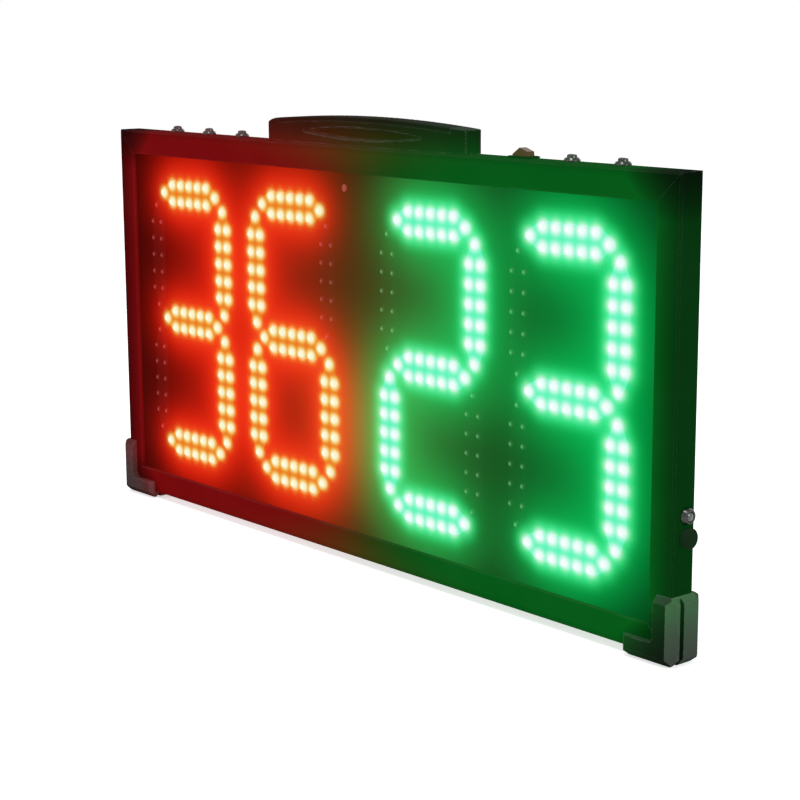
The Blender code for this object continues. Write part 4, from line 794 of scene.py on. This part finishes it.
def inside_window(points, segment, margin):
    """True for points within a window or closer to it than the margin."""
    x, z, layout = SEGMENTS[segment]
    local = points - (x, z)
    if layout is UPRIGHT:
        local = local[:, ::-1]
    along, across = local.T
    point = bar_sizes(layout)[1] + WINDOW_GAP + margin
    wide = half_width(along, layout, WINDOW_GAP + margin)
    return (np.abs(along) < point) & (np.abs(across) < wide)


def outside_windows(points, margin):
    """True for points that lie in no window and no closer to one than the margin."""
    keep = np.ones(len(points), bool)
    for centre in DIGIT_X:
        for name in SEGMENTS:
            keep &= ~inside_window(points - (centre, 0), name, margin)
    return keep


def mask_grid(step):
    """Evenly spread (x, z) points over the sheet, about the board's middle."""
    columns = np.linspace(-MASK_HALF_X, MASK_HALF_X, int(2 * MASK_HALF_X / step) + 1)
    levels = np.linspace(-MASK_HALF_Z, MASK_HALF_Z, int(2 * MASK_HALF_Z / step) + 1)
    return np.stack(np.meshgrid(columns, levels, indexing="ij"), -1).reshape(-1, 2)


lit_lamps = np.concatenate([RED["lamps"], GREEN["lamps"]]) - (0, MIDDLE_Z)
coarse, fine = mask_grid(MASK_STEP), mask_grid(MASK_FINE_STEP)
field = np.concatenate(
    [coarse[nearest(coarse, lit_lamps) > MASK_FINE_REACH],
     fine[nearest(fine, lit_lamps) <= MASK_FINE_REACH]]
)
from_receiver = np.linalg.norm(field - RECEIVER_PLACE, axis=1)
field = field[
    outside_windows(field, WINDOW_CLEAR) & (from_receiver > RECEIVER_HOLE + RECEIVER_CLEAR)
]
outlines = [window_outline(name) + (centre, 0) for centre in DIGIT_X for name in SEGMENTS]
turn = np.linspace(0, 2 * np.pi, RECEIVER_SIDES, endpoint=False)
outlines.append(RECEIVER_PLACE + RECEIVER_HOLE * np.stack([np.cos(turn), np.sin(turn)], 1))
print("mask points:", len(field), "and", sum(len(ring) for ring in outlines), "on windows")

# %% Mask sheet
edges, start = [], len(field)
for ring in outlines:
    index = start + np.arange(len(ring))
    edges += np.stack([index, np.roll(index, -1)], 1).tolist()
    start += len(ring)
spots = np.concatenate([field] + outlines).tolist()
found = delaunay_2d_cdt(spots, edges, [], 0, MERGE_DISTANCE)
spots = np.array([tuple(point) for point in found[0]])
triangles = np.array(found[2])
middles = spots[triangles].mean(1)
from_receiver = np.linalg.norm(middles - RECEIVER_PLACE, axis=1)
triangles = triangles[outside_windows(middles, 0.0) & (from_receiver > RECEIVER_HOLE)]
points = np.insert(spots + (0, MIDDLE_Z), 1, MASK_FRONT, axis=1)
a, b, c = (points[triangles[:, k]] for k in range(3))
turned_back = np.cross(b - a, c - a)[:, 1] > 0
triangles[turned_back] = triangles[turned_back][:, ::-1]
flat = points[:, [0, 2]]
light = panel_light(flat)
for colour in (RED, GREEN):
    light += bloom(nearest(flat, colour["lamps"]), colour)
mask = made_piece("mask_sheet", points, triangles, mask_black, glow=np.clip(light, 0, 1))
thickness = mask.modifiers.new("thickness", "SOLIDIFY")
thickness.thickness = MASK_THICK * MM
thickness.offset = -1.0
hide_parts("mask_panel")
print("mask triangles:", len(triangles))

# %% [markdown]
# ## Light on the case
# The digits also throw red and green light on the lip, the sides, the handle and the
# guards. It is smooth there, so the shader works it out: red fades to green past the
# middle, the level falls with the distance from the digits and towards the board's
# back, and surfaces that face back get none.

# %% Spill of the digits
RED_SPILL = (0.170, 0.0018, 0.0026)
GREEN_SPILL = (0.0006, 0.098, 0.0085)
RED_END, RED_SOFT = -0.020, 0.012
GREEN_END, GREEN_SOFT = 0.025, 0.018
LIT_HALF_X, LIT_HALF_Z = 0.282, 0.130
SPILL_START, SPILL_FADE, SPILL_BLEND = 0.028, 0.019, 0.020
SPILL_DEEP, SPILL_DEEP_FADE, SPILL_TURN = 0.013, 0.004, 2.4


def spill(finish, gain=1.0):
    """Red and green light on a piece, by its place and by where its surface faces."""
    x, y, z = finish.axes(finish.place)
    facing = finish.axes(finish.facing)[1]
    aside = (x.size() - LIT_HALF_X).above(0)
    over = ((z - MIDDLE_Z * MM).size() - LIT_HALF_Z).above(0)
    level = ((SPILL_START - aside - over) / SPILL_FADE).below(0).exp()
    level = level * (1 - SPILL_TURN * facing).above(0).below(1) * gain
    level = level * ((SPILL_DEEP - y) / SPILL_DEEP_FADE).above(0).below(1)
    blend = 1 + over / SPILL_BLEND
    red = level / (1 + ((x - RED_END) / (RED_SOFT * blend)).exp())
    green = level / (1 + ((GREEN_END - x) / (GREEN_SOFT * blend)).exp())
    return finish.vector("ADD", finish.scaled(RED_SPILL, red), finish.scaled(GREEN_SPILL, green))


# %% [markdown]
# ## Finishes of the case
# The frame is powder-coated black aluminium: a fine pebbled film, a little duller in
# patches, rubbed bare along its edges, where a painted highlight lies too, and dusty
# where it faces up, with painted top light there. The guards and the handle are moulded
# plastic with a spark-eroded grain. The guards take the knocks: their sides are scuffed
# and carry painted side light, and the front of the left one is paler in scratchy
# patches. Steel, chrome, rubber and paint each get their own grain and wear.

# %% Case finishes
PATCHES = (14.0, 4.0, 0.6)
SCRATCHES = (55.0, 5.0, 0.7, (1, 6, 14))
GUARD_EDGE = (0.28, 0.31)
HANDLE_MIDDLE = (0.005, 0.0, 0.34154)
HANDLE_RIM = ((0.1174, 0.1177), (0.0061, 0.0064), (0.0080, 0.0087))
RIM_SHARE = 0.18


def black_coat(
    name, colour, rough, pebble, gain,
    edge=0.0005, dust_and_top_light=0.012, side_scuff_and_light=0.0, specular=0.001, bare_and_edge_light=0.04, rim=(),
):
    """A dark film over metal or plastic: pebble, dull patches, worn edges that also carry a
    painted highlight, dusty grey with painted top light on what faces up, and, where it
    takes knocks, pale scuffed grey with painted side light on what faces sideways, while
    the front of the guards at the left end turns paler in scratchy patches. The colour and
    the three greys, for the top, the sides and the worn edges, run from nought to one.
    `rim` holds, for each axis, how far from the handle's middle the outline of its flat
    ends begins to be worn and lit as well."""
    made = Finish(name, Specular_IOR_Level=specular, Emission_Strength=1.0)
    patches = made.noise(*PATCHES)
    fine = made.noise(pebble, 2.0)
    scratch = made.noise(*SCRATCHES)
    soft = made.rounded(edge)
    level = made.vector("DOT_PRODUCT", soft, made.facing, out="Value")
    worn = (1 - level).ramp(0.02, 0.22)
    if rim:
        places = zip(made.axes(made.place), HANDLE_MIDDLE, rim)
        end, front, top = ((axis - middle).size().ramp(*band) for axis, middle, band in places)
        worn = worn.above(RIM_SHARE * end * front.above(top))
    # Edges are rubbed bare and also carry a painted highlight, and so does the outline of the handle's
    # flat ends.
    rubbed = worn * scratch.ramp(0.42, 0.62) * 0.5
    sideways, ahead, up = made.axes(made.facing)
    film = made.mix(patches.ramp(0.42, 0.72), (colour,) * 3, (colour * 1.7,) * 3)
    # What faces up is dusty and also lighter with painted top light.
    film = made.mix(up.ramp(0.3, 0.9) * (0.5 + 0.9 * patches), film, (dust_and_top_light,) * 3)
    # Thrown light is stronger on the rubbed edges: a painted highlight.
    thrown = 0.86 + 0.28 * patches + 0.7 * rubbed
    # On the guards, faces turned sideways get pale scuffs together with painted side light, in colour
    # and in thrown light, and the front of the guards at the left end turns paler in scratchy patches.
    if side_scuff_and_light:
        x = made.axes(made.place)[0]
        scuffed_and_side_lit = sideways.size().ramp(0.35, 0.65) * (0.8 + 0.3 * scratch)
        thrown = thrown * (1 + 2.2 * scuffed_and_side_lit * x.ramp(*GUARD_EDGE))
        left_front_paler = (0 - ahead).ramp(0.6, 0.9) * (0 - x).ramp(*GUARD_EDGE)
        scuffed_and_side_lit = (scuffed_and_side_lit + left_front_paler * scratch.ramp(0.05, 0.5)).below(1)
        film = made.mix(scuffed_and_side_lit, film, (side_scuff_and_light,) * 3)
    made.feed(
        Base_Color=made.mix(rubbed, film, (bare_and_edge_light,) * 3),
        Roughness=rough + 0.18 * patches - 0.1 * rubbed,
        Normal=made.bump(fine, 0.35, 0.00008, soft),
        Emission_Color=made.scaled(spill(made, gain), thrown),
    )
    return made


frame_black = black_coat(
    "frame_black", 0.0016, 0.5, 1500.0, 1.0, edge=0.0007, dust_and_top_light=0.009, specular=0.0, bare_and_edge_light=0.12
)
guard_plastic = black_coat(
    "guard_plastic", 0.006, 0.5, 900.0, 0.95, edge=0.0014, dust_and_top_light=0.035, side_scuff_and_light=0.045, bare_and_edge_light=0.22
)
handle_plastic = black_coat(
    "handle_plastic", 0.0025, 0.45, 1100.0, 0.95, edge=0.0022, dust_and_top_light=0.03, bare_and_edge_light=0.24,
    rim=HANDLE_RIM,
)
grip_rubber = black_coat("grip_rubber", 0.004, 0.62, 700.0, 0.7, edge=0.0006, dust_and_top_light=0.018)
switch_plastic = black_coat("switch_plastic", 0.004, 0.4, 1300.0, 0.6, edge=0.0004)
cap_rubber = black_coat("cap_rubber", 0.006, 0.6, 800.0, 0.6, edge=0.0004)


def metal(name, colour, rough, brushed, gain=0.0):
    """Bare or plated metal with fine brushing and small dull spots."""
    made = Finish(name, Metallic=1.0, Emission_Strength=1.0)
    spots = made.noise(180.0, 4.0, 0.65)
    lines = made.noise(brushed, 3.0, 0.6, (1, 12, 1))
    worn = [channel * 0.62 for channel in colour]
    made.feed(
        Base_Color=made.mix(spots.ramp(0.5, 0.75), colour, worn),
        Roughness=rough + 0.16 * spots + 0.08 * lines,
        Normal=made.bump(lines, 0.15, 0.00003, made.rounded(0.0003)),
        Emission_Color=spill(made, gain),
    )
    return made


# The chrome gets a very dark colour: painted shade, for the dark board round the buttons and the bezel,
# which chrome mirrors.
button_chrome = metal("button_chrome", (0.048, 0.047, 0.046), 0.12, 420.0, gain=0.3)
metal("screw_steel", (0.42, 0.42, 0.41), 0.26, 600.0)
metal("key_aluminium", (0.55, 0.56, 0.57), 0.34, 300.0)
print("case finishes:", frame_black.material.name, guard_plastic.material.name)

# %% Painted panel
panel_grey = Finish("panel_grey", Specular_IOR_Level=0.25)
cloudy = panel_grey.noise(7.0, 4.0, 0.6)
pebble = panel_grey.noise(1400.0, 2.0)
lines = panel_grey.noise(26.0, 6.0, 0.75, (1, 1, 9))
fine_lines = lines.ramp(0.60, 0.66) * panel_grey.noise(5.0).ramp(0.45, 0.65)
coat = panel_grey.mix(cloudy.ramp(0.3, 0.7), (0.037, 0.038, 0.040), (0.054, 0.055, 0.057))
panel_grey.feed(
    Base_Color=panel_grey.mix(fine_lines * 0.5, coat, (0.11, 0.11, 0.11)),
    Roughness=0.50 + 0.16 * cloudy,
    Normal=panel_grey.bump(pebble, 0.4, 0.00008, panel_grey.rounded(0.0006)),
)
print("painted panel:", panel_grey.material.name)

# %% Small finishes
rocker_orange = Finish("rocker_orange", Specular_IOR_Level=0.04, Emission_Strength=1.0)
rub = rocker_orange.noise(260.0, 4.0, 0.6)
rocker_orange.feed(
    Base_Color=rocker_orange.mix(rub.ramp(0.4, 0.75), (0.105, 0.046, 0.024), (0.070, 0.033, 0.018)),
    Roughness=0.28 + 0.2 * rub,
    Normal=rocker_orange.bump(rub, 0.15, 0.00005, rocker_orange.rounded(0.0004)),
    Emission_Color=spill(rocker_orange, 0.4),
)
smoked_dome = mottled(
    "smoked_dome", (700.0, 2.0), (0.260, 0.040, 0.026), (0.340, 0.055, 0.034),
    rough=(0.10, 0.1), Specular_IOR_Level=0.1, Emission_Strength=1.0,
)[0]
smoked_dome.feed(Emission_Color=spill(smoked_dome, 0.9))
indicator_lens = mottled(
    "indicator_lens", (1200.0, 1.0), (0.020, 0.036, 0.026), (0.040, 0.065, 0.048),
    rough=(0.12, 0.12), Specular_IOR_Level=0.5, Coat_Weight=0.4,
)[0]
mottled(
    "battery_wrap", (90.0, 5.0, 0.6, (1, 1, 4)), (0.020, 0.070, 0.210), (0.035, 0.110, 0.300),
    rough=(0.22, 0.2), bump=(0.4, 0.0003), Specular_IOR_Level=0.45,
)
mottled(
    "lead_grey", (500.0, 3.0), (0.20, 0.20, 0.21), (0.27, 0.27, 0.28),
    rough=(0.42, 0.2), bump=(0.2, 0.0001), Specular_IOR_Level=0.4,
)
print(len(FINISHES), "finishes:", ", ".join(FINISHES))

# %% [markdown]
# ## Solids that keep their own shape
# The frame's rails, the guards, the back panel, the screws and all inner pieces have
# the right shape already. Each only takes its finish, by the slot that the record
# names for its node.

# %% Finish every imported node
plain = 0
for node_name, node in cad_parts.items():
    for slot in node.material_slots:
        key = slot.material.name.split(".")[0] if slot.material else ""
        if key in FINISHES:
            slot.material = FINISHES[key].material
        else:
            plain += 1
            print("no finish for", node_name, key)
print("nodes without a finish:", plain)

# %% [markdown]
# ## Handle
# The handle is moulded in one piece: end blocks, a crowned back, a bed for the soft
# grip and a finger scoop on both faces. It is a section carried along the length. Each
# section runs up the front, over the top and down the back, and its rows follow the
# scoop's two edges, so the ledges stay crisp. The left end's top corner is rounder.

# %% Handle body
HANDLE_X = 5.0
HANDLE_HALF = 118.0
HANDLE_HALF_DEEP = 9.25
HANDLE_BASE = TOP_Z + 0.3
HANDLE_SHARP = 35
CROWN_END, CROWN_RISE = 17.5, 4.98
END_ROUND = 3.0
TOP_ROUND = 1.0
WORN_LENGTH, WORN_DROP = 14.0, 4.5
GRIP_HALF, BED_DROP, BED_STEP = 103.0, 3.3, 0.01
SCOOP_HALF, SCOOP_DEEP = 71.0, 6.3
SCOOP_LOW, SCOOP_HIGH, SCOOP_CLOSE = 4.6, 14.6, 4.4
SCOOP_LEDGE, SCOOP_FLOOR = 0.25, 0.8


def crown(along):
    """Height of the handle's back, which rises from both ends to the middle."""
    return CROWN_END + CROWN_RISE * (1 - (along / HANDLE_HALF) ** 2)


def quarter_round(top, deep, radius, angles):
    """Rows of (height, half depth) round the edge between a side and the top."""
    return [
        (top - radius + radius * math.sin(a), deep - radius + radius * math.cos(a))
        for a in np.radians(angles)
    ]


def handle_sections(along, rows):
    """Sections of the handle at places along it. Rows of (height, half depth) run from
    the foot to the top, and the back mirrors the front."""
    front = [np.stack([along, -half, height], 1) for height, half in rows]
    back = [np.stack([along, half, height], 1) for height, half in reversed(rows)]
    return capped_tube(np.stack(front + back, 1) + (HANDLE_X, 0, HANDLE_BASE))


def handle_stations():
    """Places along the handle, closer together at its ends and at the bed's steps."""
    end = np.sort(HANDLE_HALF - END_ROUND * (1 - np.cos(np.radians(np.linspace(0, 90, 7)))))
    body = np.linspace(GRIP_HALF, HANDLE_HALF - END_ROUND, 5)[:-1]
    bed = np.concatenate([[GRIP_HALF - BED_STEP], body, end])
    middle = np.linspace(-SCOOP_HALF, SCOOP_HALF, 61)
    between = np.linspace(SCOOP_HALF, GRIP_HALF - BED_STEP, 10)[1:-1]
    half = np.concatenate([between, bed])
    return np.concatenate([-half[::-1], middle, half])


def handle_body_surface():
    """Half depth shrinks at the ends along a quarter circle, and the left end's top corner
    falls along a quarter ellipse. The scoop closes to a point at both sides."""
    along = handle_stations()
    size = np.abs(along)
    near_end = np.clip(size - (HANDLE_HALF - END_ROUND), 0, END_ROUND)
    deep = HANDLE_HALF_DEEP - (END_ROUND - np.sqrt(END_ROUND**2 - near_end**2))
    top = crown(along) - np.where(size < GRIP_HALF, BED_DROP, 0)
    worn = np.clip((WORN_LENGTH - HANDLE_HALF - along) / WORN_LENGTH, 0, 1)
    top = top - WORN_DROP * (1 - np.sqrt(1 - worn**2))
    share = np.clip(size / SCOOP_HALF, 0, 1)
    low = SCOOP_LOW + SCOOP_CLOSE * share**2
    high = SCOOP_HIGH - SCOOP_CLOSE * share**2
    open_share = np.sqrt(np.clip(1 - share**6, 0, 1))
    sunk = SCOOP_DEEP * open_share
    ledge, floor_edge = SCOOP_LEDGE * open_share, SCOOP_FLOOR * open_share
    rows = [(low * f, deep) for f in (0, 0.35, 0.7, 1.0)]
    rows += [(low + ledge, deep - sunk * f) for f in (0.06, 0.5)]
    rows += [(z, deep - sunk) for z in (low + floor_edge, (low + high) / 2, high - floor_edge)]
    rows += [(high - ledge, deep - sunk * f) for f in (0.5, 0.06)]
    rows += [(high, deep), ((high + top - TOP_ROUND) / 2, deep)]
    rows += quarter_round(top, deep, TOP_ROUND, (0, 22.5, 45, 67.5, 90))
    return handle_sections(along, rows)


points, faces = handle_body_surface()
handle = made_piece("handle_moulding", points, faces, handle_plastic, sharp=HANDLE_SHARP)
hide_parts("handle_body")
print("handle faces:", len(faces))

# %% [markdown]
# ## Grip
# The soft strip in the handle's bed follows the crown, with a rounded top edge, and
# shallow ribs across it so that it doesn't slip in a wet hand.

# %% Grip strip
GRIP_STRIP_HALF, GRIP_STATIONS = 102.99, 343
GRIP_LIFT, GRIP_ROUND, GRIP_PLAIN_END, GRIP_SHARP = 0.01, 1.2, 4, 50
RIB_EVERY, RIB_SINK = 6.0, 0.35
RIB_SLOPE, RIB_SHARE = 12, 9


def grip_surface():
    """Sections along the crown; top and sides sink a little between the ribs."""
    along = np.linspace(-GRIP_STRIP_HALF, GRIP_STRIP_HALF, GRIP_STATIONS)
    ribbed = np.clip(RIB_SLOPE * np.cos(2 * np.pi * along / RIB_EVERY) + RIB_SHARE, 0, 1)
    ribbed = np.where(np.abs(along) > GRIP_STRIP_HALF - GRIP_PLAIN_END, 1, ribbed)
    sink = RIB_SINK * (1 - ribbed)
    top, deep = crown(along), HANDLE_HALF_DEEP - sink
    rows = [(top - BED_DROP + GRIP_LIFT, deep + sink), (top - GRIP_ROUND, deep)]
    rows += quarter_round(top - sink, deep, GRIP_ROUND, (22.5, 45, 67.5, 90))
    return handle_sections(along, rows)


points, faces = grip_surface()
grip = made_piece("grip_strip", points, faces, grip_rubber, sharp=GRIP_SHARP)
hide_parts("handle_grip")
print("grip faces:", len(faces))

# %% [markdown]
# ## Push buttons
# Five chrome push buttons stand on the top rail. Body and cap are turned on a lathe,
# so both are a profile carried round an axis, with small rounds where a tool leaves
# them. The body's profile runs up the thread, over the bezel and down the bore. The
# cap is a piece of its own because it moves.

# %% Buttons
BUTTON_X = (-258.0, -210.5, -163.0, 220.5, 268.0)
BUTTON_Y = 2.0

button_body = (
    [(0, -14.0), (4.5, -14.0), (4.5, 0.3), (5.9, 0.3)]
    + rounded_corner((5.7, 0.9), 0.3, -60, 20, 3)
    + [(5.95, 1.35)]
    + rounded_corner((4.6, 2.65), 0.35, 25, 90, 3)
    + rounded_corner((4.35, 2.55), 0.45, 90, 180, 4)
    + [(3.9, 2.55), (3.9, -11.0), (0, -11.0)]
)
button_cap = [
    (0, -7.2), (3.3, -7.2), (3.6, -6.9), (3.6, 4.1),
    (3.45, 4.62), (3.05, 5.02), (2.3, 5.32), (1.2, 5.52), (0, 5.6),
]
for number, x in enumerate(BUTTON_X, 1):
    place = (x, BUTTON_Y, TOP_Z)
    body = turned_piece(f"button_{number}_bezel", button_body, place, button_chrome)
    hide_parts(f"button_{number}_body")
    cap = turned_piece(
        f"button_{number}_dome", button_cap, place, button_chrome, f"button_{number}"
    )
    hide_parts(f"button_{number}_cap")
print("buttons:", len(BUTTON_X))

# %% [markdown]
# ## Charge light, charge socket and dust cap
# Two round fittings sit low on the right side: a small lens in a chrome bezel, and a
# socket under a rubber cap. They are turned pieces as well, about an axis along X.

# %% Fittings on the right side
SIDE_Y = 1.4
LIGHT_Z, SOCKET_Z = 103.49, 88.39

light_bezel = (
    [(0, -13.0), (4.0, -13.0), (4.0, 0.3), (6.05, 0.3)]
    + rounded_corner((5.9, 0.9), 0.3, -60, 20, 3)
    + [(6.1, 1.4)]
    + rounded_corner((4.7, 4.05), 0.35, 25, 90, 3)
    + rounded_corner((3.95, 3.95), 0.45, 90, 180, 4)
    + [(3.5, 3.95), (3.5, 1.4), (0, 1.4)]
)
light_dome = [(0, 1.7), (3.2, 1.7), (3.2, 3.5), (3.0, 4.1), (2.4, 4.6), (1.3, 4.92), (0, 5.0)]
socket_dish = [
    (0, -14.0), (5.0, -14.0), (5.0, 0.3), (7.0, 0.3), (7.0, 1.5), (6.7, 1.8),
    (3.6, 1.8), (3.4, 1.6), (3.4, -7.2), (0.9, -7.2), (0.9, 0.3), (0, 0.3),
]
cap_shape = (
    [(0, 2.1), (1.5, 2.1), (1.5, -2.2), (3.1, -2.2), (3.1, 2.1), (7.1, 2.1), (7.4, 2.4)]
    + rounded_corner((6.4, 4.3), 1.0, 0, 90, 5)
    + [(5.6, 5.3), (5.2, 4.95), (4.8, 4.95), (4.4, 5.3), (0, 5.3)]
)
for name, profile, z, finish, body, node, slot in (
    ("light_bezel", light_bezel, LIGHT_Z, button_chrome, "board", "indicator_bezel", "button_chrome"),
    ("light_dome", light_dome, LIGHT_Z, indicator_lens, "board", "indicator_lens", "indicator_lens"),
    ("socket_dish", socket_dish, SOCKET_Z, switch_plastic, "board", "charge_socket", "switch_plastic"),
    ("rubber_cap", cap_shape, SOCKET_Z, cap_rubber, "socket_cap", "dust_cap", "cap_rubber"),
):
    made = turned_piece(name, profile, (HALF_WIDTH, SIDE_Y, z), finish, body, along="X")
    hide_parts(node)
print("fittings at heights", LIGHT_Z, "and", SOCKET_Z, "mm")
